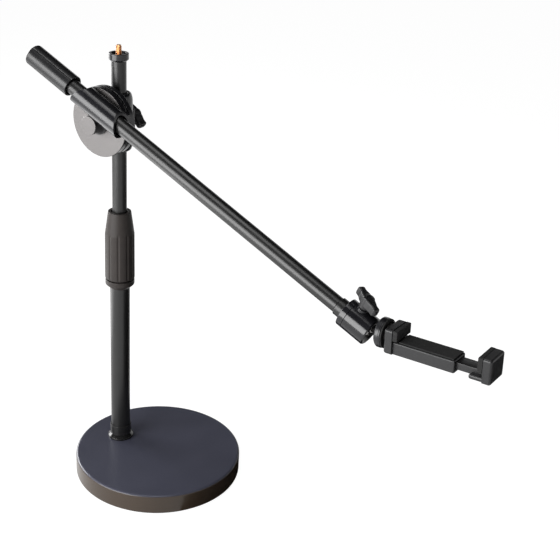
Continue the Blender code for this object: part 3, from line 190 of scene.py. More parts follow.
JAW_PAD_EDGE = 0.8 * MM
BAR_EDGE = 0.6 * MM
BAR_HALF = 7.0 * MM
BAR_H = 7.0 * MM
TRAY_HALF = 11.0 * MM
TRAY_EDGE = 1.2 * MM
TRAY_PAD_EDGE = 0.35 * MM
TRAY_COVER_EDGE = 0.3 * MM
MOULDING_EDGE = 0.3 * MM
CHANNEL_WALL = 1.4 * MM
SPRING_BORE_R = 2.65 * MM
SPRING_BORE_END = 4.3 * MM
SPRING_WIRE_R = 0.35 * MM
SPRING_HOOK = 2.6 * MM
SPRING_TURNS = 20
SPRING_STEPS = 24
SCREW_SINK_R = 2.5 * MM
SCREW_SINK_DEPTH = 1.2 * MM
SCREW_SHANK_R = 1.2 * MM
SCREW_HEAD_T = 0.9 * MM
SCREW_HEAD_ROUND = 0.35 * MM
SCREW_SLOT_L = 1.3 * MM
SCREW_SLOT_W = 0.28 * MM
SCREW_SLOT_T = 0.55 * MM
SMALL_EDGE = 0.15 * MM
SEAT_GAP = 0.3 * MM
RUN_GAP = 0.2 * MM


def metres(name, description, value):
    """A size property."""
    return FloatProperty(name=name, description=description, default=value, unit="LENGTH")


def whole(name, description, value, least):
    """A whole number."""
    return IntProperty(name=name, description=description, default=value, min=least)


def watts(name, description, value):
    """A lamp's power."""
    return FloatProperty(name=name, description=description, default=value, subtype="POWER")


def color(name, description, value):
    """A colour property in linear values."""
    return FloatVectorProperty(
        name=name, description=description, default=value, subtype="COLOR", size=3, min=0.0, max=1.0)


class PhoneStandSizes(PropertyGroup):
    """Sizes of the detail that the pieces get over their plain solids"""

    turn_sides: whole("Turned sides", "Sides of a turned piece", 144, 24)
    edge_softness: metres("Edge softness", "Radius of a turned piece's corners", 0.35 * MM)
    flute_count: whole("Flutes", "Flutes round the twist collar", 10, 3)
    flute_radius: metres("Flute radius", "Radius of a flute's round bottom", 2.6 * MM)
    flute_depth: metres("Flute depth", "How deep a flute is cut", 0.55 * MM)
    groove_count: whole("Grip grooves", "Grooves along the arm's grip", 4, 2)
    groove_radius: metres("Grip groove radius", "Radius of a grip groove's bottom", 0.9 * MM)
    groove_depth: metres("Grip groove depth", "How deep a grip groove is", 0.9 * MM)
    stud_pitch: metres("Stud pitch", "Thread pitch of the camera studs", 1.27 * MM)
    screw_pitch: metres("Screw pitch", "Thread pitch of the knobs' screws", 1.0 * MM)
    wing_edge: metres("Wing edge", "Edge radius of a wing knob's grip", 1.6 * MM)
    wing_recess: metres("Wing recess", "Depth of the finger hollows in a wing", 0.7 * MM)


class PhoneStandColors(PropertyGroup):
    """Colours of the stand's finishes"""

    base_paint: color("Base paint", "Satin paint on top of the weighted base", (0.056, 0.058, 0.082))
    # The side tone is a painted reflection: a warm brown that stands in for a warm surround reflected in the
    # black side.
    base_side_reflection: color("Base side", "Satin paint round the base's side", (0.044, 0.030, 0.020))
    tube_coat: color("Tube coat", "Satin coat of the tubes", (0.010, 0.010, 0.010))
    cast_coat: color("Casting coat", "Coat of the cast pieces", (0.011, 0.011, 0.013))
    collar: color("Collar plastic", "Moulded plastic of the twist collar", (0.034, 0.029, 0.027))
    plastic: color("Black plastic", "Plastic of the knobs, grip and phone clamp", (0.014, 0.014, 0.015))
    # A painted reflection: this pale grey stands in for the soft box reflected in the turned faces of the
    # tilt joint and its knob's cap.
    face_reflection_grey: color("Bare metal", "Turned faces of the tilt joint", (0.155, 0.147, 0.145))
    stud_metal: color("Stud metal", "Copper-toned stud on the pole", (0.72, 0.38, 0.18))
    steel: color("Steel", "Screws, pins, ball and washers", (0.58, 0.57, 0.56))
    dark_steel: color("Dark steel", "Blackened foot of the phone clamp", (0.09, 0.085, 0.08))
    rubber: color("Rubber", "Pads and friction washer", (0.018, 0.018, 0.018))
    liner: color("Liner plastic", "Pale plastic of the hidden liners", (0.58, 0.58, 0.55))


class PhoneStandStage(PropertyGroup):
    """Strength of the lights and brightness of the floor"""

    key_power: watts("Key light", "Power of the wide soft box in front", 30.0)
    low_power: watts("Low light", "Power of the low panel at the front left, in gloss only", 1.6)
    left_power: watts("Left light", "Power of the soft box at the left", 9.0)
    edge_power: watts("Edge light", "Power of the left panel, in gloss only", 17.0)
    top_power: watts("Top light", "Power of the soft box overhead", 6.0)
    floor_glow: FloatProperty(
        name="Floor glow", description="How far the floor is lifted to white where it is seen", default=0.97)
    world_light: FloatProperty(
        name="Surround", description="Strength of the light from all round", default=0.15)


def sizes():
    """The sizes, as the panel shows them."""
    return bpy.context.scene.phone_stand_sizes


def colors():
    """The colours, as the panel shows them."""
    return bpy.context.scene.phone_stand_colors


# Node graphs


class Wire:
    """An output socket, on which plain maths adds the nodes that work it out."""

    def __init__(self, graph, socket):
        self.graph = graph
        self.socket = socket

    def __add__(self, other):
        return self.graph.maths("ADD", self, other)

    def __sub__(self, other):
        return self.graph.maths("SUBTRACT", self, other)

    def __rsub__(self, other):
        return self.graph.maths("SUBTRACT", other, self)

    def __mul__(self, other):
        return self.graph.maths("MULTIPLY", self, other)

    def __truediv__(self, other):
        return self.graph.maths("DIVIDE", self, other)

    def __rtruediv__(self, other):
        return self.graph.maths("DIVIDE", other, self)

    def __pow__(self, other):
        return self.graph.maths("POWER", self, other)

    __radd__ = __add__
    __rmul__ = __mul__


class Graph:
    """A node tree, emptied first, that is written as calls and sums."""

    def __init__(self, tree):
        self.tree = tree
        self.tree.nodes.clear()

    def node(self, kind, settings=None, values=None, output=0):
        """Add a node, set it, fill its sockets with values or wires, and return one output."""
        node = self.tree.nodes.new(kind)
        for name, value in (settings or {}).items():
            setattr(node, name, value)
        for name, value in (values or {}).items():
            if isinstance(value, Wire):
                self.tree.links.new(value.socket, node.inputs[name])
            else:
                node.inputs[name].default_value = value
        return Wire(self, node.outputs[output]) if len(node.outputs) else node

    def maths(self, operation, *terms):
        """One step of plain maths."""
        return self.node("ShaderNodeMath", {"operation": operation}, dict(enumerate(terms)))

    def split(self, vector):
        """A vector's three parts."""
        first = self.node("ShaderNodeSeparateXYZ", None, {0: vector})
        outputs = first.socket.node.outputs
        return [Wire(self, outputs[i]) for i in range(3)]


class Finish(Graph):
    """A material whose patterns are written in metres, in the place of the piece that wears it."""

    def __init__(self, name, at):
        self.material = bpy.data.materials.new(name)
        self.material.use_nodes = True
        super().__init__(self.material.node_tree)
        here = self.node("ShaderNodeTexCoord", output="Object")
        self.where = self.node("ShaderNodeMapping", {"vector_type": "TEXTURE"}, {
            "Vector": here, "Location": at.to_translation(), "Rotation": at.to_euler()})

    def grain(self, size, detail=2.0, stretch=(1, 1, 1), shift=0.0):
        """Noise about 0.5 whose lumps are of this size, in metres, drawn out by stretch."""
        scale = [1.0 / (size * share) for share in stretch]
        vector = self.node("ShaderNodeVectorMath", {"operation": "MULTIPLY_ADD"}, {
            0: self.where, 1: scale, 2: (shift, shift, shift)})
        return self.node("ShaderNodeTexNoise", None, {"Vector": vector, "Scale": 1.0, "Detail": detail})

    def step(self, value, low, high):
        """0 below low, 1 above high, and a soft rise between them."""
        return self.node("ShaderNodeMapRange", {"interpolation_type": "SMOOTHSTEP"}, {
            "Value": value, "From Min": low, "From Max": high})

    def mix(self, factor, first, second):
        """A mix of two colours."""
        first, second = [c if isinstance(c, Wire) else (*c, 1.0) for c in (first, second)]
        return self.node("ShaderNodeMix", {"data_type": "RGBA"}, {0: factor, 6: first, 7: second}, 2)

    def tinted(self, tone, share):
        """A colour made lighter, or darker where share is below 1."""
        return tuple(min(1.0, part * share) for part in tone)

    def drift(self, factor, tone, low, high):
        """A tone that wanders between two shares of itself."""
        return self.mix(factor, self.tinted(tone, low), self.tinted(tone, high))

    def surface(self, tone, roughness, reliefs=(), **constants):
        """Close the material: reliefs are pairs of a height wire and its depth in metres."""
        normal = None
        for height, depth in reliefs:
            values = {"Height": height, "Distance": depth, "Strength": 1.0}
            if normal:
                values["Normal"] = normal
            normal = self.node("ShaderNodeBump", None, values)
        values = {"Base Color": tone if isinstance(tone, Wire) else (*tone, 1.0), "Roughness": roughness}
        values.update({name.replace("_", " "): value for name, value in constants.items()})
        if normal:
            values["Normal"] = normal
        shader = self.node("ShaderNodeBsdfPrincipled", None, values)
        self.node("ShaderNodeOutputMaterial", None, {"Surface": shader})
        return self.material


def satin_coat(name, tone, at, roughness=0.33):
    """Sprayed satin coat: fine orange peel, drifting gloss and faint rub lines along its Z."""
    finish = Finish(name, at)
    cloud = finish.grain(26 * MM, 3)
    peel = finish.grain(2.4 * MM, 1)
    line = finish.grain(1.4 * MM, 2, (1, 1, 60))
    worn = finish.step(line, 0.55, 0.80) * 0.10
    fleck = finish.step(finish.grain(0.45 * MM, 1, shift=9.0), 0.76, 0.84) * 0.06
    drifted = finish.drift(cloud, tone, 0.75, 1.3)
    lined = finish.mix(worn, drifted, finish.tinted(tone, 2.4))
    flecked = finish.mix(fleck, lined, (0.07, 0.07, 0.075))
    rough = roughness + (cloud - 0.5) * 0.08 - worn * 0.06 + fleck * 0.1
    reliefs = [(peel, 0.0005 * MM)]
    return finish.surface(flecked, rough, reliefs, Specular_IOR_Level=0.5)


def cast_coat(name, tone, at, roughness=0.26):
    """Coat over a light alloy casting: coarser peel, small pits and a slight sheen."""
    finish = Finish(name, at)
    cloud = finish.grain(14 * MM, 3)
    skin = finish.grain(2.2 * MM, 2)
    pit = finish.step(finish.grain(0.9 * MM, 1, shift=5.0), 0.74, 0.90)
    drifted = finish.drift(cloud, tone, 0.7, 1.4)
    rough = roughness + (cloud - 0.5) * 0.08 + pit * 0.12
    reliefs = [(skin, 0.0006 * MM), (1.0 - pit, 0.0003 * MM)]
    return finish.surface(drifted, rough, reliefs, Specular_IOR_Level=0.5)


def base_paint(name, tone, side_reflection_tone, top, at):
    """Powder paint over cast iron: a fine pebbled skin, cooler on its top, with a brown painted reflection as
    the tone round its side.
    """
    finish = Finish(name, at)
    cloud = finish.grain(60 * MM, 2)
    pebble = finish.grain(0.9 * MM, 2)
    fine = finish.grain(0.35 * MM, 2, shift=3.0)
    fleck = finish.step(finish.grain(0.8 * MM, 1, shift=7.0), 0.75, 0.80) * 0.15
    height = finish.split(finish.where)[2]
    on_top = finish.step(height, top - 2.2 * MM, top - 0.4 * MM)
    drifted = finish.drift(cloud, tone, 0.85, 1.18)
    # Painted reflection: the brown tone round the side stands in for a warm surround reflected in it.
    cast = finish.drift(cloud, side_reflection_tone, 0.8, 1.25)
    flecked = finish.mix(fleck, finish.mix(on_top, cast, drifted), (0.11, 0.115, 0.13))
    rough = 0.36 + (cloud - 0.5) * 0.10 + (pebble - 0.5) * 0.08
    reliefs = [(pebble, 0.005 * MM), (fine, 0.0012 * MM)]
    return finish.surface(
        flecked, rough, reliefs, Specular_IOR_Level=0.22, Coat_Weight=0.4, Coat_Roughness=0.22)


def moulded(name, tone, at, roughness=0.34, texture=0.0005, specular=0.45):
    """Moulded plastic: a texture so many millimetres deep, tone drift and handling marks along its Z."""
    finish = Finish(name, at)
    cloud = finish.grain(18 * MM, 2)
    spark = finish.grain(0.28 * MM, 3)
    scuff = finish.step(finish.grain(0.8 * MM, 2, (1, 1, 14), 4.0), 0.62, 0.80) * 0.08
    drifted = finish.drift(cloud, tone, 0.85, 1.2)
    scuffed = finish.mix(scuff, drifted, finish.tinted(tone, 1.9))
    rough = roughness + (cloud - 0.5) * 0.08 + (spark - 0.5) * 0.06 - scuff * 0.06
    return finish.surface(scuffed, rough, [(spark, texture * MM)], Specular_IOR_Level=specular)


def turned_metal(name, tone, at, roughness, metallic, depth=0.001):
    """Lathe-turned metal: fine rings round its Z that catch the light, and a faint patina."""
    finish = Finish(name, at)
    x, y, z = finish.split(finish.where)
    radius = (x * x + y * y) ** 0.5
    ring = finish.maths("SINE", (radius + z) * (TAU / (0.35 * MM))) * 0.5 + 0.5
    cloud = finish.grain(12 * MM, 3, shift=2.0)
    patina = finish.drift(cloud, tone, 0.90, 1.08)
    ringed = finish.mix(ring * 0.25, patina, finish.tinted(tone, 0.86))
    rough = roughness + (cloud - 0.5) * 0.15 + ring * 0.05
    return finish.surface(ringed, rough, [(ring, depth * MM)], Metallic=metallic)


def drawn_steel(name, tone, at, roughness=0.28):
    """Plated steel: hair lines along its Z, with a few dull spots."""
    finish = Finish(name, at)
    line = finish.grain(0.12 * MM, 2, (1, 1, 30))
    cloud = finish.grain(5 * MM, 3)
    dull = finish.step(cloud, 0.55, 0.75)
    toned = finish.mix(dull, tone, finish.tinted(tone, 0.78))
    rough = roughness + dull * 0.10 + (line - 0.5) * 0.08
    return finish.surface(toned, rough, [(line, 0.0006 * MM)], Metallic=1.0)


def rubber_skin(name, tone, at):
    """Soft rubber: a dry matt skin with dust in its grain."""
    finish = Finish(name, at)
    grain = finish.grain(0.4 * MM, 3)
    dust = finish.step(finish.grain(3 * MM, 4, shift=6.0), 0.5, 0.75)
    dusty = finish.mix(dust * 0.5, tone, finish.tinted(tone, 2.2))
    rough = 0.74 + (grain - 0.5) * 0.2
    return finish.surface(dusty, rough, [(grain, 0.02 * MM)], Specular_IOR_Level=0.25)


def holder_casting(name):
    """The tilt joint's front casting: coated all over but for its turned outer face, whose pale grey is a
    painted reflection of the soft box.
    """
    finish = Finish(name, TILT)
    face_reflection, coat = colors().face_reflection_grey, colors().cast_coat
    x, y, z = finish.split(finish.where)
    radius = (x * x + y * y) ** 0.5
    face = holder_face()
    near = finish.step(z, face - 0.25 * MM, face - 0.08 * MM)
    beyond = finish.step(z, face + 0.10 * MM, face + 0.35 * MM)
    mask = near * (1.0 - beyond)
    ring = finish.maths("SINE", radius * (TAU / (0.6 * MM))) * 0.5 + 0.5
    cloud = finish.grain(16 * MM, 3, shift=2.0)
    skin = finish.grain(1.1 * MM, 3)
    # Painted reflection: the turned face's pale grey stands in for the soft box reflected in it.
    metal = finish.drift(cloud, face_reflection, 0.94, 1.05)
    metal = finish.mix(ring * 0.3, metal, finish.tinted(face_reflection, 0.88))
    coated = finish.drift(cloud, coat, 0.7, 1.4)
    tone = finish.mix(mask, coated, metal)
    rough = 0.22 + (cloud - 0.5) * 0.06 + mask * 0.16 + ring * mask * 0.04
    reliefs = [(skin * (1.0 - mask), 0.0005 * MM)]
    return finish.surface(tone, rough, reliefs, Metallic=mask * 0.2, Specular_IOR_Level=0.5)


# Measuring and meshes


def extent(node, at):
    """A CAD node's lowest and highest corners, in one of the places above."""
    inverse = at.inverted()
    points = [inverse @ vert.co for vert in frame["nodes"][node].data.vertices]
    low = Vector([min(point[i] for point in points) for i in range(3)])
    high = Vector([max(point[i] for point in points) for i in range(3)])
    return low, high


def outer_radius(node, at):
    """The radius of a round CAD node."""
    return extent(node, at)[1].x


def holder_face():
    """Height of the flat face that the arm's sleeve stands on, along the tilt joint's axis."""
    return extent("tilt_washer", TILT)[0].z - SEAT_GAP


def ring_outline(inner, outer, low, high):
    """The outline of a plain ring or tube, or of a disc where inner is 0."""
    return [(inner, low), (outer, low), (outer, high), (inner, high)]


def quarter_turn(steps):
    """Angles from 0 to a quarter turn, in even steps."""
    return [math.pi / 2 * i / steps for i in range(steps + 1)]


def soften(points, softness=None):
    """Round an outline's corners; a point's third number is its own corner radius."""
    softness = sizes().edge_softness if softness is None else softness
    result = []
    for i, point in enumerate(points):
        at = Vector(point[:2])
        radius = point[2] if len(point) > 2 else softness
        back = Vector(points[i - 1][:2]) - at
        ahead = Vector(points[(i + 1) % len(points)][:2]) - at
        turn = math.pi - back.angle(ahead, math.pi)
        if at.x < MERGE or radius < MERGE or turn < SHALLOW:
            result.append(at)
            continue
        reach = min(radius * math.tan(turn / 2), 0.42 * back.length, 0.42 * ahead.length)
        start = at + back.normalized() * reach
        end = at + ahead.normalized() * reach
        steps = 4 if radius < 1 * MM else 8
        support = min(0.15 * MM, 0.05 * min(back.length, ahead.length))
        result.append(start + back.normalized() * support)
        for k in range(steps + 1):
            t = k / steps
            result.append(start * (1 - t) ** 2 + at * (2 * t * (1 - t)) + end * t ** 2)
        result.append(end + ahead.normalized() * support)
    return [tuple(point) for point in result]


def turned(points, sides=None, slit=0.0, start=0.0):
    """Turn an outline round Z; a slit, in radians, leaves the sleeve open there."""
    bm = bmesh.new()
    sides = sides or sizes().turn_sides
    count = sides + 1 if slit else sides
    angles = [start + slit / 2 + (TAU - slit) * i / sides for i in range(count)]
    rings = []
    for radius, height in points:
        if radius < MERGE:
            rings.append([bm.verts.new((0, 0, height))])
        else:
            spots = [(radius * math.cos(angle), radius * math.sin(angle), height) for angle in angles]
            rings.append([bm.verts.new(spot) for spot in spots])
    for first, second in zip(rings, rings[1:] + rings[:1]):
        if len(first) == len(second) == 1:
            continue
        for i in range(sides):
            j = (i + 1) % count
            corners = (first[i % len(first)], first[j % len(first)],
                       second[j % len(second)], second[i % len(second)])
            bm.faces.new(dict.fromkeys(corners))
    if slit:
        for end in (0, -1):
            bm.faces.new([ring[end] for ring in rings])
    return bm


def soft_turned(points, softness=None, **options):
    """Turn an outline round Z after its corners are rounded."""
    return turned(soften(points, softness), **options)


def rod(radius, low, high, sides=64):
    """A plain pin, as a tool or a core."""
    return turned(ring_outline(0, radius, low, high), sides)


def block(low, high, edge=0.0, steps=4):
    """A box between two corners, with its edges rounded."""
    bm = bmesh.new()
    bmesh.ops.create_cube(bm, size=1.0)
    for vert in bm.verts:
        vert.co = Vector([(low[i] + high[i]) / 2 + vert.co[i] * (high[i] - low[i]) for i in range(3)])
    if edge:
        bmesh.ops.bevel(
            bm, geom=list(bm.edges), offset=edge, segments=steps, profile=0.5, affect="EDGES",
            clamp_overlap=True)
    return bm


def as_object(name, bm, at=POLE):
    """An object at the origin with the mesh's place in the mesh."""
    bmesh.ops.remove_doubles(bm, verts=bm.verts, dist=MERGE)
    bmesh.ops.recalc_face_normals(bm, faces=bm.faces)
    mesh = bpy.data.meshes.new(name)
    bm.to_mesh(mesh)
    bm.free()
    mesh.transform(at)
    obj = bpy.data.objects.new(name, mesh)
    bpy.context.scene.collection.objects.link(obj)
    return obj


def settle(obj):
    """Turn an object's modifiers into a plain mesh."""
    graph = bpy.context.evaluated_depsgraph_get()
    mesh = bpy.data.meshes.new_from_object(obj.evaluated_get(graph))
    before = obj.data
    obj.modifiers.clear()
    obj.data = mesh
    bpy.data.meshes.remove(before)
    mesh.name = obj.name
    return obj


def combine(obj, operation, *tools):
    """Join tools to an object or cut them out of it, and remove them."""
    for tool in tools:
        modifier = obj.modifiers.new(tool.name, "BOOLEAN")
        modifier.operation = operation
        modifier.solver = "EXACT"
        modifier.object = tool
    settle(obj)
    for tool in tools:
        bpy.data.objects.remove(tool)
    return obj


def cut(obj, *tools):
    """Cut tools out of an object."""
    return combine(obj, "DIFFERENCE", *tools)


def join(obj, *tools):
    """Join tools to an object."""
    return combine(obj, "UNION", *tools)


def soften_edges(obj, width):
    """Round the sharp edges that cutting and joining leave."""
    modifier = obj.modifiers.new("edges", "BEVEL")
    modifier.width = width
    modifier.segments = 2
    modifier.limit_method = "ANGLE"
    modifier.angle_limit = 35 * DEG
    return settle(obj)


def dress(obj, material, body, slot, *nodes):
    """Finish a piece: its material, its shading, its body, if it has one, and its CAD nodes."""
    mesh = obj.data
    mesh.materials.clear()
    mesh.materials.append(material)
    for polygon in mesh.polygons:
        polygon.material_index = 0
    mesh.shade_smooth()
    mesh.set_sharp_from_angle(angle=SHARP)
    modifier = obj.modifiers.new("flat_faces", "WEIGHTED_NORMAL")
    modifier.keep_sharp = True
    settle(obj)
    if body:
        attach(obj, body)
    if nodes:
        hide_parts(*nodes)
    return obj


def lathe(name, points, at, material, body, slot, *nodes, **options):
    """A finished round piece, from the outline that is turned round its place's Z."""
    return dress(as_object(name, soft_turned(points, **options), at), material, body, slot, *nodes)


def thin_tube(name, node, at, body, coat):
    """One of the stand's coated tubes; gives its inner and outer radius."""
    low, high = extent(node, at)
    inner = high.x - TUBE_WALL
    lathe(name, ring_outline(inner, high.x, low.z, high.z), at, coat, body, "satin_black_coat", node)
    return inner, high.x


def paint(material, *nodes):
    """Give CAD nodes whose shape is right their finish."""
    for node in nodes:
        for slot in frame["nodes"][node].material_slots:
            slot.material = material


# Shapes that Geometry Nodes make


class Growth(Graph):
    """A Geometry Nodes tree with named inputs, which ends in a material."""

    def __init__(self, name, inputs):
        tree = bpy.data.node_groups.new(name, "GeometryNodeTree")
        super().__init__(tree)
        tree.interface.new_socket(name="Geometry", in_out="OUTPUT", socket_type="NodeSocketGeometry")
        tree.interface.new_socket(name="Geometry", in_out="INPUT", socket_type="NodeSocketGeometry")
        for label, kind in inputs.items():
            tree.interface.new_socket(name=label, in_out="INPUT", socket_type="NodeSocket" + kind)
        tree.interface.new_socket(name="Material", in_out="INPUT", socket_type="NodeSocketMaterial")
        self.start = tree.nodes.new("NodeGroupInput")

    def given(self, label):
        """One of the tree's inputs."""
        return Wire(self, self.start.outputs[label])

    def end(self, geometry):
        """Realize what was made, give it the material and close the tree."""
        real = self.node("GeometryNodeRealizeInstances", None, {"Geometry": geometry})
        painted = self.node("GeometryNodeSetMaterial", None, {
            "Geometry": real, "Material": self.given("Material")})
        self.node("NodeGroupOutput", None, {"Geometry": painted})
        return self.tree

    def joined(self, *parts):
        """Several geometries as one."""
        node = self.tree.nodes.new("GeometryNodeJoinGeometry")
        for part in parts:
            self.tree.links.new(part.socket, node.inputs[0])
        return Wire(self, node.outputs[0])


def tree_named(name, build):
    """A tree that is built once and then shared."""
    return bpy.data.node_groups.get(name) or build(name)


def groove_tree(name):
    """Cut round-bottomed grooves along Z into a turned piece, up to where its wall falls away."""
    graph = Growth(name, {"Count": "Int", "Centre Distance": "Float", "Groove Radius": "Float",
                          "Turn": "Float", "Foot": "Float", "Head": "Float"})
    x, y, z = graph.split(graph.node("GeometryNodeInputPosition"))
    radius = (x * x + y * y) ** 0.5
    pitch = TAU / graph.given("Count")
    angle = graph.maths("ARCTAN2", y, x) - graph.given("Turn")
    angle = graph.maths("WRAP", angle, pitch * 0.5, pitch * -0.5)
    center = graph.given("Centre Distance")
    aside = center * graph.maths("SINE", angle)
    inside = graph.given("Groove Radius") ** 2 - aside * aside
    room = graph.maths("MAXIMUM", inside, 0.0)
    between = graph.maths("LESS_THAN", inside, 0.0)
    rise = graph.maths("MAXIMUM", graph.given("Foot") - z, 0.0)
    fall = graph.maths("MAXIMUM", z - graph.given("Head"), 0.0)
    wall = center * graph.maths("COSINE", angle) - room ** 0.5 + rise + fall + between
    share = graph.maths("MINIMUM", radius, wall) / graph.maths("MAXIMUM", radius, MERGE)
    moved = graph.node("ShaderNodeCombineXYZ", None, {0: x * share, 1: y * share, 2: z})
    carved = graph.node("GeometryNodeSetPosition", None, {
        "Geometry": graph.given("Geometry"), "Position": moved})
    return graph.end(carved)


def thread_tree(name):
    """Wind a thread round a core along Z."""
    graph = Growth(name, {"Root Radius": "Float", "Depth": "Float", "Pitch": "Float", "Low": "Float",
                          "High": "Float"})
    length = graph.given("High") - graph.given("Low")
    root = graph.given("Root Radius")
    helix = graph.node("GeometryNodeCurveSpiral", None, {
        "Resolution": 28, "Rotations": length / graph.given("Pitch"), "Start Radius": root,
        "End Radius": root, "Height": length})
    level = graph.node("GeometryNodeSetCurveNormal", {"mode": "Z_UP"}, {"Curve": helix})
    ridge = graph.node("GeometryNodeCurvePrimitiveCircle", None, {
        "Resolution": 4, "Radius": graph.given("Depth")})
    wound = graph.node("GeometryNodeCurveToMesh", None, {
        "Curve": level, "Profile Curve": ridge, "Fill Caps": True})
    lift = graph.node("ShaderNodeCombineXYZ", None, {2: graph.given("Low")})
    lifted = graph.node("GeometryNodeTransform", None, {"Geometry": wound, "Translation": lift})
    return graph.end(graph.joined(graph.given("Geometry"), lifted))


def wire_tree(name):
    """Sweep a round wire along a path of edges."""
    graph = Growth(name, {"Wire Radius": "Float"})
    path = graph.node("GeometryNodeMeshToCurve", None, {"Mesh": graph.given("Geometry")})
    section = graph.node("GeometryNodeCurvePrimitiveCircle", None, {
        "Resolution": 10, "Radius": graph.given("Wire Radius")})
    swept = graph.node("GeometryNodeCurveToMesh", None, {
        "Curve": path, "Profile Curve": section, "Fill Caps": True})
    return graph.end(swept)


def row_tree(name):
    """Repeat a piece along a straight row."""
    graph = Growth(name, {"Count": "Int", "First": "Vector", "Step": "Vector"})
    line = graph.node("GeometryNodeMeshLine", None, {
        "Count": graph.given("Count"), "Start Location": graph.given("First"),
        "Offset": graph.given("Step")})
    copies = graph.node("GeometryNodeInstanceOnPoints", None, {
        "Points": line, "Instance": graph.given("Geometry")})
    return graph.end(copies)


def grow(obj, name, build, values, material):
    """Run a tree on an object and keep the result as its plain mesh."""
    tree = tree_named(name, build)
    modifier = obj.modifiers.new(name, "NODES")
    modifier.node_group = tree
    values = {**values, "Material": material}
    for item in tree.interface.items_tree:
        if item.in_out == "INPUT" and item.name in values:
            modifier[item.identifier] = values[item.name]
    return settle(obj)


def grooved(name, points, at, values, material):
    """A turned piece with grooves along its axis."""
    obj = as_object(name, turned(points, sides=360))
    grow(obj, "round_grooves", groove_tree, values, material)
    obj.data.transform(at)
    return obj


def threaded(name, radius, low, high, pitch, at, material, thread_low=None):
    """A screw along the place's Z: a core with a wound thread and a chamfered tip."""
    depth = 0.45 * pitch
    core = radius - depth
    tip = 0.6 * MM
    points = [(0, low), (core, low), (core, high - tip), (core - tip, high), (0, high)]
    obj = as_object(name, soft_turned(points, 0.1 * MM, sides=48))
    start = low if thread_low is None else thread_low
    values = {"Root Radius": core + 0.05 * depth, "Depth": 0.95 * depth, "Pitch": pitch,
              "Low": start + pitch / 2, "High": high - tip - depth / 2}
    grow(obj, "wound_thread", thread_tree, values, material)
    obj.data.transform(at)
    return obj


def knob_screw(name, node, at, body, steel):
    """A knob's screw, threaded all along."""
    low, high = extent(node, at)
    screw = threaded(name, high.x, low.z, high.z, sizes().screw_pitch, at, steel)
    return dress(screw, steel, body, "plain_steel", node)


def rounded_section(half, rise, radius):
    """Points of a rounded rectangle, half wide and rise high from its middle."""
    radius = min(radius, 0.98 * half, 0.98 * rise)
    steps = 4
    points = []
    for k, (y, z) in enumerate(((1, 1), (-1, 1), (-1, -1), (1, -1))):
        for i in range(steps + 1):
            angle = TAU / 4 * (k + i / steps)
            points.append((y * (half - radius) + radius * math.cos(angle),
                           z * (rise - radius) + radius * math.sin(angle)))
    return points


# Wing knobs: shares are of the reach from the hub's axis to a wing's tip
WING_HUB_W = 11.0 * MM
WING_TIP_W = 7.4 * MM
WING_TIP_RISE = 0.8 * MM
WING_ROUND_FROM = 0.78
WING_STATIONS = 48
KNOB_HUB_R = 5.8 * MM
POLE_WING_LIFT = 0.6 * MM
BALL_WING_LIFT = 2.8 * MM
POLE_KNOB_TURN = 42.0 * DEG
BALL_KNOB_TURN = -26.0 * DEG
KNOB_STANDOFF = 1.3 * MM


def wing(reach, height, lift):
    """The two wings of a knob, along X, with hollows for the fingers."""
    bm = bmesh.new()
    sections = []
    for i in range(WING_STATIONS + 1):
        share = -math.cos(math.pi * i / WING_STATIONS)
        far = abs(share)
        beyond = max(0.0, far - WING_ROUND_FROM) / (1.0 - WING_ROUND_FROM)
        round_off = max(0.12, math.sqrt(max(0.0, 1.0 - beyond ** 2.6)))
        taper = min(1.0, far / WING_ROUND_FROM)
        hollow = sizes().wing_recess * math.sin(math.pi * min(max((far - 0.34) / 0.56, 0.0), 1.0)) ** 2
        half = (WING_HUB_W + (WING_TIP_W - WING_HUB_W) * taper) / 2 * round_off - hollow
        low = lift + WING_TIP_RISE * far
        middle = (low + height) / 2
        rise = (height - low) / 2 * round_off
        section = rounded_section(half, rise, sizes().wing_edge * round_off)
        sections.append([bm.verts.new((share * reach, y, middle + z)) for y, z in section])
    for first, second in zip(sections, sections[1:]):
        for i in range(len(first)):
            j = (i + 1) % len(first)
            bm.faces.new((first[i], first[j], second[j], second[i]))
    bm.faces.new(sections[0])
    bm.faces.new(sections[-1])
    return bm


def wing_knob(node, at, turn, lift, standoff, material):
    """A wing knob: its hub with a raised crown, joined to its wings."""
    own = at @ Matrix.Rotation(turn, 4, "Z")
    high = extent(node, own)[1]
    height = high.z - standoff
    crown = 0.5 * MM
    hub = [(0, 0), (KNOB_HUB_R - 0.4 * MM, 0), (KNOB_HUB_R, 1.0 * MM), (KNOB_HUB_R, height - crown, 0.8 * MM),
           (0.62 * KNOB_HUB_R, height), (0.55 * KNOB_HUB_R, height - crown), (0, height - crown)]
    knob = as_object(node + "_moulding", soft_turned(hub, sides=72))
    join(knob, as_object("wings", wing(high.x, height - crown, lift)))
    knob.data.transform(own @ Matrix.Translation((0, 0, standoff)))
    return dress(knob, material, node, "black_plastic", node)


# The pieces, in the order in which the stand goes together


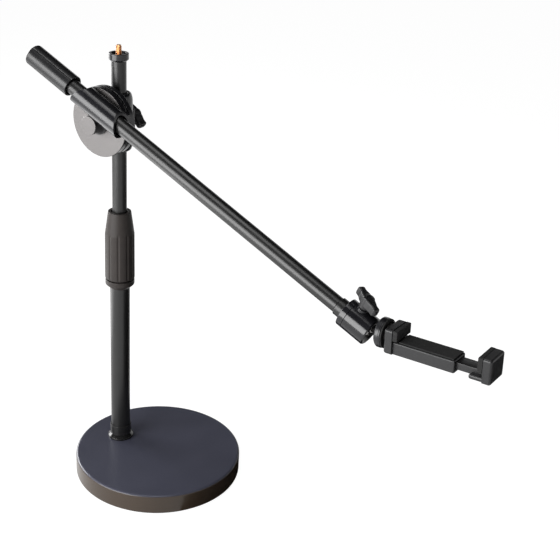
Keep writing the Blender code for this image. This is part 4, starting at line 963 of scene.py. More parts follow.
class PHONESTAND_OT_base(Operator):
    """Build the weighted disc, its pad and what holds the pole down"""

    bl_idname = "phonestand.base"
    bl_label = "Weighted base"

    def execute(self, context):
        low, high = extent("base_weight", POLE)
        center = Matrix.Translation(((low.x + high.x) / 2, (low.y + high.y) / 2, 0))
        radius = (high.x - low.x) / 2
        points = [(0, low.z), (radius, low.z, BASE_FOOT_EDGE), (radius, high.z, BASE_EDGE), (0, high.z)]
        disc = as_object("base_disc", soft_turned(points, sides=288), center)
        washer = extent("base_washer", POLE)[1]
        sink = rod(washer.x + SEAT_GAP, -MM, washer.z + SEAT_GAP)
        hole = rod(BASE_BOLT_R + SEAT_GAP, -MM, high.z + MM)
        cut(disc, as_object("sink", sink), as_object("hole", hole))
        finish = base_paint("base_paint", colors().base_paint, colors().base_side_reflection, high.z, POLE)
        dress(disc, finish, "base", "base_coat", "base_weight")

        low, high = extent("base_pad", POLE)
        outline = ring_outline(0, (high.x - low.x) / 2, low.z, high.z)
        rubber = rubber_skin("base_pad_rubber", colors().rubber, POLE)
        lathe("base_foam_pad", outline, center, rubber, "base", "soft_rubber", "base_pad", sides=192)
        paint(drawn_steel("base_steel", colors().steel, POLE), "base_bolt", "base_washer", "foot_plug")
        return {"FINISHED"}


class PHONESTAND_OT_lower_pole(Operator):
    """Build the fixed tube with its foot ring and ferrule"""

    bl_idname = "phonestand.lower_pole"
    bl_label = "Lower pole"

    def execute(self, context):
        coat = satin_coat("lower_pole_coat", colors().tube_coat, POLE)
        ring_coat = satin_coat("foot_ring_coat", colors().tube_coat, POLE, 0.18)
        bore = thin_tube("lower_pole_tube", "lower_tube", POLE, "base", coat)[1] + SEAT_GAP
        low, high = extent("foot_ring", POLE)
        points = [(bore, low.z), (high.x, low.z), (high.x, high.z - FOOT_CHAMFER, 0.5 * MM),
                  (high.x - FOOT_CHAMFER, high.z), (bore, high.z)]
        lathe("foot_ring_nut", points, POLE, ring_coat, "base", "satin_black_coat", "foot_ring")
        low, high = extent("foot_ferrule", POLE)
        points = [(bore, low.z), (high.x, low.z), (high.x, high.z, 0.4 * MM), (bore, high.z)]
        lathe("foot_ferrule_sleeve", points, POLE, coat, "base", "satin_black_coat", "foot_ferrule")
        return {"FINISHED"}


class PHONESTAND_OT_twist_lock(Operator):
    """Build the fluted twist collar, the fixed ring under it and the collet's finish"""

    bl_idname = "phonestand.twist_lock"
    bl_label = "Twist lock"

    def execute(self, context):
        plastic = moulded("collar_plastic", colors().collar, POLE, 0.45, 0.003, 0.2)
        low, high = extent("clutch_ring", POLE)
        bore = outer_radius("lower_tube", POLE) + SEAT_GAP
        spigot = bore + SPIGOT_WALL
        top = low.z + CLUTCH_RING_H
        points = [(bore, low.z), (high.x - CLUTCH_CHAMFER, low.z), (high.x, low.z + CLUTCH_CHAMFER, 1.6 * MM),
                  (high.x, top, 0.7 * MM), (spigot, top), (spigot, high.z), (bore, high.z)]
        lathe("twist_lock_ring", points, POLE, plastic, "base", "collar_plastic", "clutch_ring")

        low, high = extent("collar_sleeve", POLE)
        inner = spigot + RUN_GAP
        waist = high.x - COLLAR_WAIST
        shoulder = high.z - COLLAR_TAPER
        cone_top = high.z - MOUTH_DEPTH
        cone = cone_top - COLLET_CONE_LEN
        points = [(inner, low.z), (high.x, low.z, 0.5 * MM), (high.x - 0.01 * MM, low.z + 1.4 * MM),
                  (waist, shoulder)]
        for i in range(1, COLLAR_ROWS):
            share = i / COLLAR_ROWS
            points.append((waist + (MOUTH_R - waist) * share, shoulder + COLLAR_TAPER * share))
        points += [(MOUTH_R, high.z, 0.5 * MM), (MOUTH_BORE, high.z), (MOUTH_BORE, cone_top),
                   (MOUTH_BORE + COLLET_CONE_FLARE, cone), (inner, cone)]
        depth, radius = sizes().flute_depth, sizes().flute_radius
        flutes = sizes().flute_count
        values = {"Count": flutes, "Centre Distance": waist - depth + radius, "Groove Radius": radius,
                  "Turn": math.pi / flutes, "Foot": low.z + FLUTE_FOOT, "Head": high.z}
        collar = grooved("twist_collar", soften(points), POLE, values, plastic)
        dress(collar, plastic, "collar", "collar_plastic", "collar_sleeve")
        paint(moulded("lock_liner_plastic", colors().liner, POLE), "split_collet")
        return {"FINISHED"}


class PHONESTAND_OT_upper_pole(Operator):
    """Build the sliding tube, its flanged spigot and the threaded stud"""

    bl_idname = "phonestand.upper_pole"
    bl_label = "Upper pole"

    def execute(self, context):
        coat = satin_coat("upper_pole_coat", colors().tube_coat, POLE)
        plug = thin_tube("upper_pole_tube", "upper_tube", POLE, "mast", coat)[0] - SEAT_GAP
        low, high = extent("spigot_flange", POLE)
        foot = high.z - FLANGE_H
        floor = high.z - FLANGE_RECESS
        rim = high.x - FLANGE_RIM
        bore = STUD_R + SEAT_GAP
        points = [(bore, low.z), (plug, low.z), (plug, foot), (high.x - FLANGE_CHAMFER, foot),
                  (high.x, foot + FLANGE_CHAMFER, 0.6 * MM), (high.x, high.z, 0.5 * MM), (rim, high.z),
                  (rim, floor), (bore, floor)]
        casting = cast_coat("spigot_coat", colors().cast_coat, POLE)
        lathe("spigot_cap", points, POLE, casting, "mast", "black_coated_casting", "spigot_flange")
        low, high = extent("spigot_stud", POLE)
        brass = turned_metal("stud_brass", colors().stud_metal, POLE, 0.24, 1.0)
        stud = threaded("spigot_thread", STUD_R, low.z, high.z, sizes().stud_pitch, POLE, brass, floor)
        dress(stud, brass, "mast", "stud_brass", "spigot_stud")
        paint(moulded("bush_plastic", colors().liner, POLE), "guide_bush")
        return {"FINISHED"}


class PHONESTAND_OT_pole_clamp(Operator):
    """Build the housing that slides on the pole, its liner and friction washer"""

    bl_idname = "phonestand.pole_clamp"
    bl_label = "Pole clamp"

    def execute(self, context):
        low, high = extent("pole_liner", PIVOT)
        pole_r = outer_radius("upper_tube", POLE)
        outline = ring_outline(pole_r + RUN_GAP, high.x, low.z, high.z)
        plastic = moulded("pole_liner_plastic", colors().plastic, POLE)
        lathe("pole_liner_sleeve", outline, PIVOT, plastic, "liner", "black_plastic", "pole_liner",
              slit=LINER_SLIT / pole_r)
        self.build_housing(high.x + RUN_GAP, low.z - CLAMP_OVERHANG, high.z + CLAMP_OVERHANG)
        low, high = extent("friction_washer", REAR_DISC)
        outline = ring_outline(TILT_BOLT_HOLE_R, high.x, low.z, high.z)
        rubber = rubber_skin("friction_rubber", colors().rubber, REAR_DISC)
        lathe("friction_ring", outline, REAR_DISC, rubber, "clamp", "soft_rubber", "friction_washer")
        paint(moulded("clamp_shoe_plastic", colors().liner, POLE_KNOB), "clamp_shoe")
        return {"FINISHED"}

    def build_housing(self, bore, foot, top):
        """The round sleeve on the pole, with the rear tilt disc and the knob's boss."""
        low, high = extent("clamp_housing", PIVOT)
        lip = bore + CLAMP_LIP
        swell = CLAMP_R - lip
        points = [(0, foot)]
        for angle in quarter_turn(10):
            points.append((lip + swell * math.sin(angle), foot + CLAMP_ROUND_BOTTOM * (1 - math.cos(angle))))
        for angle in reversed(quarter_turn(10)):
            points.append((lip + swell * math.sin(angle), top - CLAMP_ROUND_TOP * (1 - math.cos(angle))))
        points.append((0, top))
        housing = as_object("pole_clamp_housing", soft_turned(points), PIVOT)
        face = -low.y
        back = CLAMP_R + DISC_STANDOFF
        disc_r = (high.x - low.x) / 2
        points = [(0, 0), (HUB_ROOT_R, 0), (HUB_R, back), (disc_r, back, DISC_EDGE),
                  (disc_r, face, DISC_EDGE), (0, face)]
        disc = as_object("rear_disc", soft_turned(points), REAR_DISC)
        knob_at = REAR_DISC.inverted() @ Vector(joint("pole_knob_turn")["pos_m"])
        boss_low = (-BOSS_W / 2, bore, knob_at.y - BOSS_H / 2)
        boss_high = (BOSS_W / 2, high.y, knob_at.y + BOSS_H / 2)
        join(housing, disc, as_object("knob_boss", block(boss_low, boss_high, BOSS_EDGE), PIVOT))
        hole = as_object("pole_bore", rod(bore, foot - MM, top + MM, sizes().turn_sides), PIVOT)
        thread = rod(TILT_BOLT_HOLE_R, face - TILT_THREAD_LEN, face + MM)
        screw_r = outer_radius("pole_knob_screw", POLE_KNOB)
        screw_hole = as_object("screw_hole", rod(screw_r + SEAT_GAP, -BOSS_W, MM), POLE_KNOB)
        cut(housing, hole, as_object("tilt_thread", thread, REAR_DISC), screw_hole)
        casting = cast_coat("clamp_coat", colors().cast_coat, PIVOT)
        dress(housing, casting, "clamp", "black_coated_casting", "clamp_housing")


class PHONESTAND_OT_wing_knobs(Operator):
    """Build the wing knobs of the pole clamp and the ball head, with their screws"""

    bl_idname = "phonestand.wing_knobs"
    bl_label = "Wing knobs"

    def execute(self, context):
        plastic = moulded("pole_knob_plastic", colors().plastic, POLE_KNOB, 0.40)
        wing_knob("pole_knob", POLE_KNOB, POLE_KNOB_TURN, POLE_WING_LIFT, KNOB_STANDOFF, plastic)
        steel = drawn_steel("knob_screw_steel", colors().steel, POLE_KNOB)
        knob_screw("pole_clamp_screw", "pole_knob_screw", POLE_KNOB, "pole_knob", steel)
        plastic = moulded("ball_knob_plastic", colors().plastic, BALL_KNOB, 0.36)
        standoff = extent("ball_knob", BALL_KNOB)[0].z
        wing_knob("ball_knob", BALL_KNOB, BALL_KNOB_TURN, BALL_WING_LIFT, standoff, plastic)
        steel = drawn_steel("ball_screw_steel", colors().steel, BALL_KNOB)
        knob_screw("ball_lock_screw", "ball_knob_screw", BALL_KNOB, "ball_knob", steel)
        return {"FINISHED"}


class PHONESTAND_OT_tilt_joint(Operator):
    """Build the front disc with the arm's sleeve, and the knob that locks it"""

    bl_idname = "phonestand.tilt_joint"
    bl_label = "Tilt joint"

    def execute(self, context):
        self.build_holder()
        self.build_knob()
        steel = turned_metal("tilt_steel", colors().steel, TILT_KNOB, 0.3, 1.0)
        low, high = extent("tilt_washer", TILT)
        outline = ring_outline(TILT_BOLT_HOLE_R, high.x, low.z, high.z)
        lathe("tilt_joint_washer", outline, TILT, steel, "holder", "plain_steel", "tilt_washer",
              softness=SMALL_EDGE)
        knob_screw("tilt_joint_bolt", "tilt_bolt", TILT_KNOB, "tilt_knob", steel)
        return {"FINISHED"}

    def build_holder(self):
        """The front disc and the arm's sleeve, whose ends follow a circle ahead of the disc's middle."""
        low = extent("arm_holder", TILT)[0]
        face = holder_face()
        points = [(0, low.z), (-low.x, low.z, DISC_EDGE), (-low.x, face, DISC_EDGE), (0, face)]
        holder = as_object("arm_casting", soft_turned(points, sides=192), TILT)
        to_arm = TILT.inverted() @ ARM
        axis = to_arm.to_translation()
        long = 2 * SLEEVE_TRIM_R
        sleeve = as_object("sleeve", rod(SLEEVE_R, -long, long, 128), to_arm)
        web_low = (-long, axis.y - WEB_H / 2, (low.z + face) / 2)
        web_high = (long, axis.y + WEB_H / 2, axis.z)
        join(sleeve, as_object("web", block(web_low, web_high)))
        trim_at = Matrix.Translation((SLEEVE_TRIM_AHEAD, SLEEVE_TRIM_UP, 0))
        combine(sleeve, "INTERSECT", as_object("trim", rod(SLEEVE_TRIM_R, 0, 2 * axis.z, 160), trim_at))
        sleeve.data.transform(TILT)
        join(holder, sleeve)
        bore_r = outer_radius("arm_bush", ARM) + RUN_GAP
        bore = as_object("bore", rod(bore_r, -long, long, 128), ARM)
        cut(holder, bore, as_object("bolt_hole", rod(TILT_BOLT_HOLE_R, low.z - MM, face + MM), TILT))
        soften_edges(holder, CASTING_EDGE)
        dress(holder, holder_casting("arm_holder_finish"), "holder", "bare_satin_metal", "arm_holder")

    def build_knob(self):
        """The knob, whose side flares out to its rim, and the cap on it, whose pale grey is a painted
        reflection of the soft box.
        """
        high = extent("tilt_knob", TILT_KNOB)[1]
        cap_low, cap_high = extent("tilt_knob_cap", TILT_KNOB)
        flare = high.x - cap_high.x
        points = [(0, 0), (high.x, 0), (high.x, KNOB_RIM, 0.4 * MM)]
        for angle in quarter_turn(10)[1:]:
            height = KNOB_RIM + (KNOB_FLARE_LEN - KNOB_RIM) * (1 - math.cos(angle))
            points.append((cap_high.x + flare * (1 - math.sin(angle)), height))
        points += [(cap_high.x, high.z), (0, high.z)]
        plastic = moulded("tilt_knob_plastic", colors().plastic, TILT_KNOB, 0.4)
        lathe("tilt_knob_body", points, TILT_KNOB, plastic, "tilt_knob", "black_plastic", "tilt_knob")
        points = [(0, cap_low.z), (cap_high.x, cap_low.z), (cap_high.x, cap_high.z, 0.5 * MM),
                  (0, cap_high.z)]
        # Painted reflection: the cap's pale grey stands in for the soft box reflected in it.
        metal = turned_metal("tilt_cap_metal", colors().face_reflection_grey, TILT_KNOB, 0.38, 0.2, 0.0006)
        lathe("tilt_knob_disc", points, TILT_KNOB, metal, "tilt_knob", "bare_satin_metal", "tilt_knob_cap")


class PHONESTAND_OT_arm(Operator):
    """Build the boom tube with its grooved grip, tail plug, bush and end fitting"""

    bl_idname = "phonestand.arm"
    bl_label = "Boom arm"

    def execute(self, context):
        coat = satin_coat("arm_coat", colors().tube_coat, ARM)
        inner, radius = thin_tube("boom_tube", "arm_tube", ARM, "arm", coat)
        plastic = moulded("grip_plastic", colors().plastic, ARM, 0.30)
        low, high = extent("arm_bush", ARM)
        outline = ring_outline(radius + RUN_GAP, high.x, low.z, high.z)
        lathe("sleeve_bush", outline, ARM, plastic, "bush", "black_plastic", "arm_bush",
              slit=LINER_SLIT / radius, start=math.pi)
        self.build_grip(radius, plastic)
        paint(plastic, "tail_plug")

        low, high = extent("arm_end_fitting", ARM)
        seat = extent("arm_tube", ARM)[1].z + SEAT_GAP
        ring_end = extent("ball_housing", ARM)[0].z - SEAT_GAP
        plug = inner - SEAT_GAP
        points = [(0, low.z), (plug, low.z), (plug, seat), (high.x, seat, END_RING_EDGE),
                  (high.x, ring_end, END_RING_EDGE), (END_PIN_R, ring_end), (END_PIN_R, high.z), (0, high.z)]
        lathe("boom_end_ring", points, ARM, coat, "arm", "satin_black_coat", "arm_end_fitting")
        return {"FINISHED"}

    def build_grip(self, radius, plastic):
        """The grip on the boom's tail, with its mouth and its long grooves."""
        low, high = extent("arm_grip", ARM)
        grip_r = outer_radius("arm_grip", ARM @ Matrix.Rotation(45 * DEG, 4, "Z"))
        grip_r = max(grip_r, high.x, high.y)
        bore = radius + SEAT_GAP
        mouth = radius + GRIP_MOUTH_GAP
        step = high.z - GRIP_MOUTH_DEPTH
        end = extent("tail_plug", ARM)[0].z - SEAT_GAP
        points = [(0, low.z), (grip_r, low.z, GRIP_EDGE), (grip_r, high.z, GRIP_EDGE), (mouth, high.z),
                  (mouth, step), (bore, step), (bore, end), (0, end)]
        depth, groove_r = sizes().groove_depth, sizes().groove_radius
        values = {"Count": sizes().groove_count, "Centre Distance": grip_r - depth + groove_r,
                  "Groove Radius": groove_r, "Turn": GRIP_GROOVE_TURN, "Foot": low.z - MM,
                  "Head": high.z + MM}
        grip = grooved("boom_grip", soften(points), ARM, values, plastic)
        dress(grip, plastic, "arm", "black_plastic", "arm_grip")


class PHONESTAND_OT_ball_head(Operator):
    """Build the ball's housing, the ball on its neck and the platform"""

    bl_idname = "phonestand.ball_head"
    bl_label = "Ball head"

    def execute(self, context):
        platform = extent("platform", BALL)
        self.build_housing()
        self.build_stem(platform[0].z - SEAT_GAP, platform[1].z)
        self.build_platform(*platform)
        paint(moulded("ball_liner_plastic", colors().liner, BALL), "ball_seat", "ball_shoe")
        return {"FINISHED"}

    def build_housing(self):
        """The round housing with its seam, its open mouth for the ball and the knob's boss."""
        low, high = extent("ball_housing", ARM)
        ball_at = (ARM.inverted() @ BALL.to_translation()).z
        bore = END_PIN_R + SEAT_GAP
        radius = high.y
        ball_bore = BALL_R + BALL_GAP
        seam = low.z + HOUSING_SEAM_AT
        cavity = extent("ball_seat", ARM)[0].z - SEAT_GAP
        lip = math.asin(LIP_AHEAD / ball_bore)
        points = [(bore, low.z), (radius, low.z, 1.0 * MM), (radius, seam, 0.1 * MM),
                  (radius - HOUSING_SEAM, seam + HOUSING_SEAM / 2, 0.1 * MM),
                  (radius, seam + HOUSING_SEAM, 0.1 * MM), (radius, high.z - HOUSING_CHAMFER, 0.8 * MM),
                  (radius - HOUSING_CHAMFER, high.z, 0.5 * MM)]
        steps = 8
        for i in range(steps + 1):
            angle = lip * (1 - i / steps)
            points.append((ball_bore * math.cos(angle), ball_at + ball_bore * math.sin(angle)))
        points += [(ball_bore, cavity), (bore, cavity)]
        housing = as_object("ball_head_housing", soft_turned(points), ARM)
        foot = ball_bore + BALL_BOSS_ROOT
        top = extent("ball_knob", BALL_KNOB)[0].z - BALL_KNOB_GAP
        boss = [(0, foot), (BALL_BOSS_R, foot), (BALL_BOSS_R, top, 0.6 * MM), (0, top)]
        join(housing, as_object("boss", soft_turned(boss, sides=72), BALL_KNOB))
        hole = rod(outer_radius("ball_knob_screw", BALL_KNOB) + SEAT_GAP, ball_bore / 2, top + MM)
        cut(housing, as_object("screw_hole", hole, BALL_KNOB))
        casting = cast_coat("ball_housing_coat", colors().cast_coat, ARM, 0.16)
        dress(housing, casting, "arm", "black_coated_casting", "ball_housing")

    def build_stem(self, reach, thread_low):
        """The ball, its flared neck and the stud that goes up through the platform."""
        high = extent("ball_stem", BALL)[1]
        neck = math.acos(NECK_R / BALL_R)
        steps = 36
        points = []
        for i in range(steps + 1):
            angle = -math.pi / 2 + (neck + math.pi / 2) * i / steps
            points.append((max(0.0, BALL_R * math.cos(angle)), BALL_R * math.sin(angle)))
        waist = points[-1][1]
        for i in range(1, 9):
            share = i / 8
            flare = NECK_R + (NECK_FLARE_R - NECK_R) * share ** 1.5
            points.append((flare, waist + (reach - waist) * share))
        core = STUD_R - STUD_CORE_DEPTH
        points += [(core, reach), (core, high.z), (0, high.z)]
        steel = drawn_steel("ball_steel", colors().steel, BALL, 0.2)
        stem = as_object("ball_on_neck", turned(points, sides=96))
        values = {"Root Radius": STUD_R - STUD_THREAD_DEPTH, "Depth": STUD_THREAD_DEPTH,
                  "Pitch": sizes().stud_pitch, "Low": thread_low, "High": high.z - 0.5 * MM}
        grow(stem, "wound_thread", thread_tree, values, steel)
        stem.data.transform(BALL)
        dress(stem, steel, "ball", "plain_steel", "ball_stem")

    def build_platform(self, low, high):
        """The round platform with its stepped rim, and the rubber on it."""
        hole = STUD_R + SEAT_GAP
        step_r = high.x - PLATFORM_STEP
        step_z = high.z - PLATFORM_LIP
        points = [(hole, low.z), (high.x - PLATFORM_CHAMFER, low.z, 0.8 * MM),
                  (high.x, low.z + PLATFORM_LIP, 0.5 * MM), (high.x, step_z, 0.3 * MM),
                  (step_r, step_z + PLATFORM_STEP, 0.1 * MM), (step_r, high.z, 0.5 * MM), (hole, high.z)]
        coat = cast_coat("platform_coat", colors().cast_coat, BALL, 0.3)
        lathe("ball_platform", points, BALL, coat, "ball", "black_coated_casting", "platform")
        low, high = extent("platform_pad", BALL)
        outline = ring_outline(hole, high.x, low.z, high.z)
        rubber = rubber_skin("platform_rubber_skin", colors().rubber, BALL)
        lathe("platform_rubber", outline, BALL, rubber, "ball", "soft_rubber", "platform_pad")


class PHONESTAND_OT_phone_clamp(Operator):
    """Build the phone clamp: its foot, tray, jaws, cover, screws, pads and spring"""

    bl_idname = "phonestand.phone_clamp"
    bl_label = "Phone clamp"

    def execute(self, context):
        plastic = moulded("clamp_plastic", colors().plastic, BALL, 0.38)
        rubber = rubber_skin("clamp_rubber", colors().rubber, CLAMP)
        steel = drawn_steel("clamp_steel", colors().steel, BALL)
        self.build_foot()
        self.build_tray(plastic)
        self.build_cover(plastic)
        self.build_moving_jaw(plastic)
        pads = (("fixed_jaw_pad", "phone_clamp", JAW_PAD_EDGE), ("tray_pad", "phone_clamp", TRAY_PAD_EDGE),
                ("moving_jaw_pad", "jaw", JAW_PAD_EDGE))
        for node, body, edge in pads:
            pad = as_object(node + "_rubber", block(*extent(node, CLAMP), edge), CLAMP)
            dress(pad, rubber, body, "soft_rubber", node)
        self.build_screws(steel)
        self.build_spring(steel)
        paint(steel, "spring_peg", "jaw_peg")
        return {"FINISHED"}

    def build_foot(self):
        """The threaded foot: a thin flange, and a tenon that stands in the fixed jaw."""
        low, high = extent("clamp_foot", BALL)
        hole = STUD_R + SEAT_GAP
        flange = high.z - FOOT_TENON_LEN
        bottom = low.z + FOOT_HOLE_DEPTH
        points = [(hole, low.z), (high.x, low.z, 0.4 * MM), (high.x, flange, 0.4 * MM),
                  (FOOT_TENON_R, flange), (FOOT_TENON_R, high.z), (0, high.z), (0, bottom), (hole, bottom)]
        steel = turned_metal("clamp_foot_steel", colors().dark_steel, BALL, 0.34, 0.9)
        lathe("clamp_foot_insert", points, BALL, steel, "phone_clamp", "plain_steel", "clamp_foot")

    def build_tray(self, plastic):
        """The fixed jaw with its tray, and the channel, rebate and pocket cut into them."""
        low, high = extent("phone_tray", CLAMP)
        jaw_face = low.x + JAW_T
        jaw = block(low, (jaw_face + JAW_EDGE, high.y, high.z), JAW_EDGE, 6)
        tray = as_object("phone_tray_moulding", jaw, CLAMP)
        beyond_jaw = block((jaw_face, 2 * low.y, 2 * low.z), (2 * jaw_face, 2 * high.y, 2 * high.z))
        cut(tray, as_object("beyond_jaw", beyond_jaw, CLAMP))
        tray_top = extent("tray_pad", CLAMP)[0].z - SEAT_GAP
        floor = block((low.x + JAW_EDGE, -TRAY_HALF, low.z), (high.x, TRAY_HALF, tray_top), TRAY_EDGE)
        join(tray, as_object("floor", floor, CLAMP))
        cover = extent("tray_cover", CLAMP)[1]
        beyond = high.x + SEAT_GAP
        seat = cover.z + SEAT_GAP
        bar_top = seat + RUN_GAP + BAR_H
        half = BAR_HALF + RUN_GAP
        channel = block((jaw_face + CHANNEL_WALL, -half, low.z - MM), (beyond, half, bar_top + RUN_GAP))
        half = cover.y + SEAT_GAP
        rebate = block((low.x + JAW_EDGE, -half, low.z - MM), (beyond, half, seat))
        foot_top = extent("clamp_foot", BALL)[1].z
        pocket = rod(FOOT_TENON_R + SEAT_GAP, low.x - MM, foot_top + SEAT_GAP)
        cut(tray, as_object("channel", channel, CLAMP), as_object("rebate", rebate, CLAMP),
            as_object("pocket", pocket, BALL))
        soften_edges(tray, MOULDING_EDGE)
        dress(tray, plastic, "phone_clamp", "black_plastic", "phone_tray")

    def build_cover(self, plastic):
        """The plate below the tray, with sinks for its screws."""
        plate = as_object("tray_cover_plate", block(*extent("tray_cover", CLAMP), TRAY_COVER_EDGE, 3), CLAMP)
        for name in ("cover_screw_1", "cover_screw_2"):
            low, high = extent(name, CLAMP)
            at = CLAMP @ Matrix.Translation(((low.x + high.x) / 2, (low.y + high.y) / 2, 0))
            sink = rod(SCREW_SINK_R, low.z - MM, low.z + SCREW_SINK_DEPTH, 40)
            cut(plate, as_object(name, sink, at))
        dress(plate, plastic, "phone_clamp", "black_plastic", "tray_cover")

    def build_moving_jaw(self, plastic):
        """The outer jaw with its toe and the bar that slides in the tray."""
        low, high = extent("moving_jaw", CLAMP)
        face = high.x - JAW_T
        jaw = block((face - JAW_EDGE, low.y, low.z), high, JAW_EDGE, 6)
        jaw = as_object("moving_jaw_moulding", jaw, CLAMP)
        before_jaw = block((low.x, 2 * low.y, 2 * low.z), (face, 2 * high.y, 2 * high.z))
        cut(jaw, as_object("before_jaw", before_jaw, CLAMP))
        bar_low = extent("tray_cover", CLAMP)[1].z + SEAT_GAP + RUN_GAP
        bar = block((low.x, -BAR_HALF, bar_low), (face + JAW_EDGE, BAR_HALF, bar_low + BAR_H), BAR_EDGE, 2)
        toe_half = high.y - JAW_TOE_INSET
        toe_low = (face - JAW_TOE_LEN, -toe_half, low.z + JAW_TOE_RISE)
        toe = block(toe_low, (face + JAW_T / 2, toe_half, toe_low[2] + JAW_TOE_T), JAW_TOE_EDGE)
        join(jaw, as_object("bar", bar, CLAMP), as_object("toe", toe, CLAMP))
        spring_low, spring_high = extent("jaw_spring", CLAMP)
        bore_at = place((0, 0, (spring_low.z + spring_high.z) / 2), EAST, UP)
        bore = rod(SPRING_BORE_R, low.x - MM, face - SPRING_BORE_END, 40)
        cut(jaw, as_object("bore", bore, CLAMP @ bore_at))
        soften_edges(jaw, MOULDING_EDGE)
        dress(jaw, plastic, "jaw", "black_plastic", "moving_jaw")

    def build_screws(self, steel):
        """The cover's two cross-head screws."""
        first = extent("cover_screw_1", CLAMP)
        second = extent("cover_screw_2", CLAMP)
        head_r = (first[1].y - first[0].y) / 2
        length = first[1].z - first[0].z
        points = [(0, 0), (head_r * 0.6, 0), (head_r, SCREW_HEAD_ROUND), (head_r, SCREW_HEAD_T),
                  (SCREW_SHANK_R, SCREW_HEAD_T), (SCREW_SHANK_R, length), (0, length)]
        screw = as_object("cover_screws", soft_turned(points, SMALL_EDGE, sides=40))
        for i, (x, y) in enumerate(((SCREW_SLOT_L, SCREW_SLOT_W), (SCREW_SLOT_W, SCREW_SLOT_L))):
            cut(screw, as_object("slot_%d" % i, block((-x, -y, -MM), (x, y, SCREW_SLOT_T))))
        middle = [(pair[0] + pair[1]) / 2 for pair in (first, second)]
        start = Vector((middle[0].x, middle[0].y, first[0].z))
        values = {"Count": len(middle), "First": start, "Step": middle[1] - middle[0]}
        grow(screw, "straight_row", row_tree, values, steel)
        screw.data.transform(CLAMP)
        dress(screw, steel, "phone_clamp", "plain_steel", "cover_screw_1", "cover_screw_2")

    def build_spring(self, steel):
        """The jaw's wound spring, with a hook at each end, built in place without a body."""
        low, high = extent("jaw_spring", CLAMP)
        coil_r = (high.z - low.z) / 2 - SPRING_WIRE_R
        coil_low, coil_high = low.x + SPRING_HOOK, high.x - SPRING_HOOK
        center = (low.z + high.z) / 2
        points = [(low.x + SPRING_WIRE_R, 0, 0), (low.x + SPRING_HOOK / 2, coil_r / 2, 0)]
        for i in range(SPRING_TURNS * SPRING_STEPS + 1):
            angle = TAU * i / SPRING_STEPS
            along = coil_low + (coil_high - coil_low) * i / (SPRING_TURNS * SPRING_STEPS)
            points.append((along, coil_r * math.cos(angle), coil_r * math.sin(angle)))
        points += [(high.x - SPRING_HOOK / 2, coil_r / 2, 0), (high.x - SPRING_WIRE_R, 0, 0)]
        bm = bmesh.new()
        verts = [bm.verts.new((x, y, z + center)) for x, y, z in points]
        for pair in zip(verts, verts[1:]):
            bm.edges.new(pair)
        spring = as_object("wound_spring", bm)
        grow(spring, "swept_wire", wire_tree, {"Wire Radius": SPRING_WIRE_R}, steel)
        spring.data.transform(CLAMP)
        dress(spring, steel, None, "plain_steel", "jaw_spring")
        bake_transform(spring)


# Camera, floor and light


def look_at(obj, target):
    """Turn a light or camera so that it faces a point."""
    obj.rotation_euler = (Vector(target) - obj.location).to_track_quat("-Z", "Y").to_euler()


def empty_graph(owner):
    """The node tree of a new material or world, emptied."""
    owner.use_nodes = True
    return Graph(owner.node_tree)


def seen(graph):
    """1 for rays that show the background: from the camera, in gloss and through glass."""
    path = graph.node("ShaderNodeLightPath")
    outputs = path.socket.node.outputs
    rays = [Wire(graph, outputs[name]) for name in ("Is Camera Ray", "Is Glossy Ray", "Is Transmission Ray")]
    return graph.maths("MINIMUM", rays[0] + rays[1] + rays[2], 1.0)


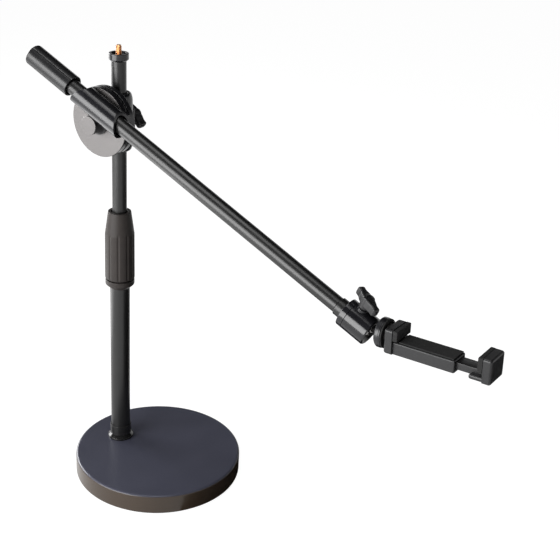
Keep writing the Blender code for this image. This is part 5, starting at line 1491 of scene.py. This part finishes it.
class PHONESTAND_OT_stage(Operator):
    """Set up the camera, the pale floor, the white surround and the soft lights"""

    bl_idname = "phonestand.stage"
    bl_label = "Stage"

    def execute(self, context):
        self.add_camera(context)
        self.add_floor(context)
        self.add_world(context)
        self.add_card("studio_ceiling", (0, 0, 2.3), (12, 12), True)
        self.add_card("right_card", (0.60, 0.50, 0.002), (1.1, 1.1), False)
        stage = context.scene.phone_stand_stage
        lights = (
            ("key_light", (-0.25, -1.25, 0.52), (0.15, 0, 0.40), (1.3, 0.9), stage.key_power, True),
            ("low_light", (-0.42, -0.32, 0.02), (-0.42, -0.32, 1), (0.30, 0.75), stage.low_power, False),
            ("left_light", (-1.28, -0.15, 0.75), (0, 0, 0.15), (0.6, 0.5), stage.left_power, True),
            ("edge_light", (-1.30, 0.10, 0.50), (0, 0, 0.05), (1.0, 0.7), stage.edge_power, False),
            ("top_light", (0.15, -0.25, 1.7), (0.1, 0, 0.2), (0.7, 0.7), stage.top_power, True))
        for light in lights:
            self.add_light(context, *light)
        context.scene.view_settings.view_transform = "Standard"
        return {"FINISHED"}

    def add_camera(self, context):
        """The camera that was fitted to the picture."""
        data = bpy.data.cameras.new("picture_camera")
        data.sensor_fit = "HORIZONTAL"
        data.sensor_width = SENSOR_WIDTH
        data.lens = CAMERA_LENS
        data.clip_start = 0.05
        camera = bpy.data.objects.new("picture_camera", data)
        across = Vector((math.cos(CAMERA_AZIMUTH), math.sin(CAMERA_AZIMUTH), 0))
        level = math.cos(CAMERA_ELEVATION)
        forward = Vector((-across.y * level, across.x * level, -math.sin(CAMERA_ELEVATION)))
        upright = across.cross(forward)
        right = across * math.cos(CAMERA_ROLL) + upright * math.sin(CAMERA_ROLL)
        turn = Matrix((right, right.cross(forward), -forward)).transposed().to_4x4()
        camera.matrix_world = Matrix.Translation(CAMERA_AT) @ turn
        context.scene.collection.objects.link(camera)
        context.scene.camera = camera

    def add_floor(self, context):
        """A grey floor that is lifted to white where it is seen."""
        bm = bmesh.new()
        bmesh.ops.create_grid(bm, x_segments=8, y_segments=8, size=12.0)
        floor = as_object("studio_floor", bm)
        material = bpy.data.materials.new("floor_sheet")
        graph = empty_graph(material)
        sheet = graph.node("ShaderNodeBsdfDiffuse", None, {"Color": (0.5, 0.5, 0.5, 1.0)})
        shown = graph.node("ShaderNodeBsdfDiffuse", None, {"Color": (0.20, 0.20, 0.20, 1.0)})
        glow = graph.node("ShaderNodeEmission", None, {
            "Color": (1.0, 1.0, 1.0, 1.0), "Strength": context.scene.phone_stand_stage.floor_glow})
        bright = graph.node("ShaderNodeAddShader", None, {0: shown, 1: glow})
        mixed = graph.node("ShaderNodeMixShader", None, {0: seen(graph), 1: sheet, 2: bright})
        graph.node("ShaderNodeOutputMaterial", None, {"Surface": mixed})
        floor.data.materials.append(material)

    def add_card(self, name, at, size, in_all_light):
        """A dark card, which keeps one side of glossy pieces black and isn't seen itself."""
        bm = bmesh.new()
        bmesh.ops.create_grid(bm, x_segments=1, y_segments=1, size=0.5)
        bmesh.ops.scale(bm, verts=bm.verts, vec=(size[0], size[1], 1))
        card = as_object(name, bm, Matrix.Translation(at))
        material = bpy.data.materials.new(name + "_black")
        graph = empty_graph(material)
        dark = graph.node("ShaderNodeBsdfDiffuse", None, {"Color": (0.02, 0.02, 0.02, 1.0)})
        graph.node("ShaderNodeOutputMaterial", None, {"Surface": dark})
        card.data.materials.append(material)
        card.visible_camera = False
        card.visible_diffuse = in_all_light
        card.visible_shadow = in_all_light

    def add_world(self, context):
        """A dim surround that is white where it is seen."""
        world = bpy.data.worlds.new("studio_surround")
        graph = empty_graph(world)
        light = context.scene.phone_stand_stage.world_light
        around = graph.node("ShaderNodeBackground", None, {"Color": (1, 1, 1, 1), "Strength": light})
        white = graph.node("ShaderNodeBackground", None, {"Color": (1, 1, 1, 1), "Strength": 1.0})
        mixed = graph.node("ShaderNodeMixShader", None, {0: seen(graph), 1: around, 2: white})
        graph.node("ShaderNodeOutputWorld", None, {"Surface": mixed})
        context.scene.world = world

    def add_light(self, context, name, at, target, size, power, on_matt):
        """A soft box that faces a point; some of them show in gloss only."""
        data = bpy.data.lights.new(name, "AREA")
        data.shape = "RECTANGLE"
        data.size, data.size_y = size
        data.energy = power
        light = bpy.data.objects.new(name, data)
        light.location = at
        look_at(light, target)
        light.visible_camera = False
        light.visible_diffuse = on_matt
        context.scene.collection.objects.link(light)


BUILDERS = (
    PHONESTAND_OT_base, PHONESTAND_OT_lower_pole, PHONESTAND_OT_twist_lock, PHONESTAND_OT_upper_pole,
    PHONESTAND_OT_pole_clamp, PHONESTAND_OT_wing_knobs, PHONESTAND_OT_tilt_joint, PHONESTAND_OT_arm,
    PHONESTAND_OT_ball_head, PHONESTAND_OT_phone_clamp, PHONESTAND_OT_stage)


class PHONESTAND_PT_panel(Panel):
    """Lists the stand's builders, with their sizes, colours and lights"""

    bl_idname = "PHONESTAND_PT_panel"
    bl_label = "Phone Stand"
    bl_space_type = "VIEW_3D"
    bl_region_type = "UI"
    bl_category = "Phone Stand"

    def draw(self, context):
        scene = context.scene
        for builder in BUILDERS:
            self.layout.operator(builder.bl_idname)
        for group in (scene.phone_stand_sizes, scene.phone_stand_colors, scene.phone_stand_stage):
            box = self.layout.box()
            for name in group.__annotations__:
                box.prop(group, name)


CLASSES = (PhoneStandSizes, PhoneStandColors, PhoneStandStage, *BUILDERS, PHONESTAND_PT_panel)


def register():
    for cls in CLASSES:
        bpy.utils.register_class(cls)
    bpy.types.Scene.phone_stand_sizes = PointerProperty(type=PhoneStandSizes)
    bpy.types.Scene.phone_stand_colors = PointerProperty(type=PhoneStandColors)
    bpy.types.Scene.phone_stand_stage = PointerProperty(type=PhoneStandStage)


def unregister():
    del bpy.types.Scene.phone_stand_stage
    del bpy.types.Scene.phone_stand_colors
    del bpy.types.Scene.phone_stand_sizes
    for cls in reversed(CLASSES):
        bpy.utils.unregister_class(cls)


def main():
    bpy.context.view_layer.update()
    register()
    for builder in BUILDERS:
        group, name = builder.bl_idname.split(".")
        result = getattr(getattr(bpy.ops, group), name)()
        if result != {"FINISHED"}:
            raise RuntimeError(builder.bl_label + " was not built")


if __name__ == "__main__":
    main()
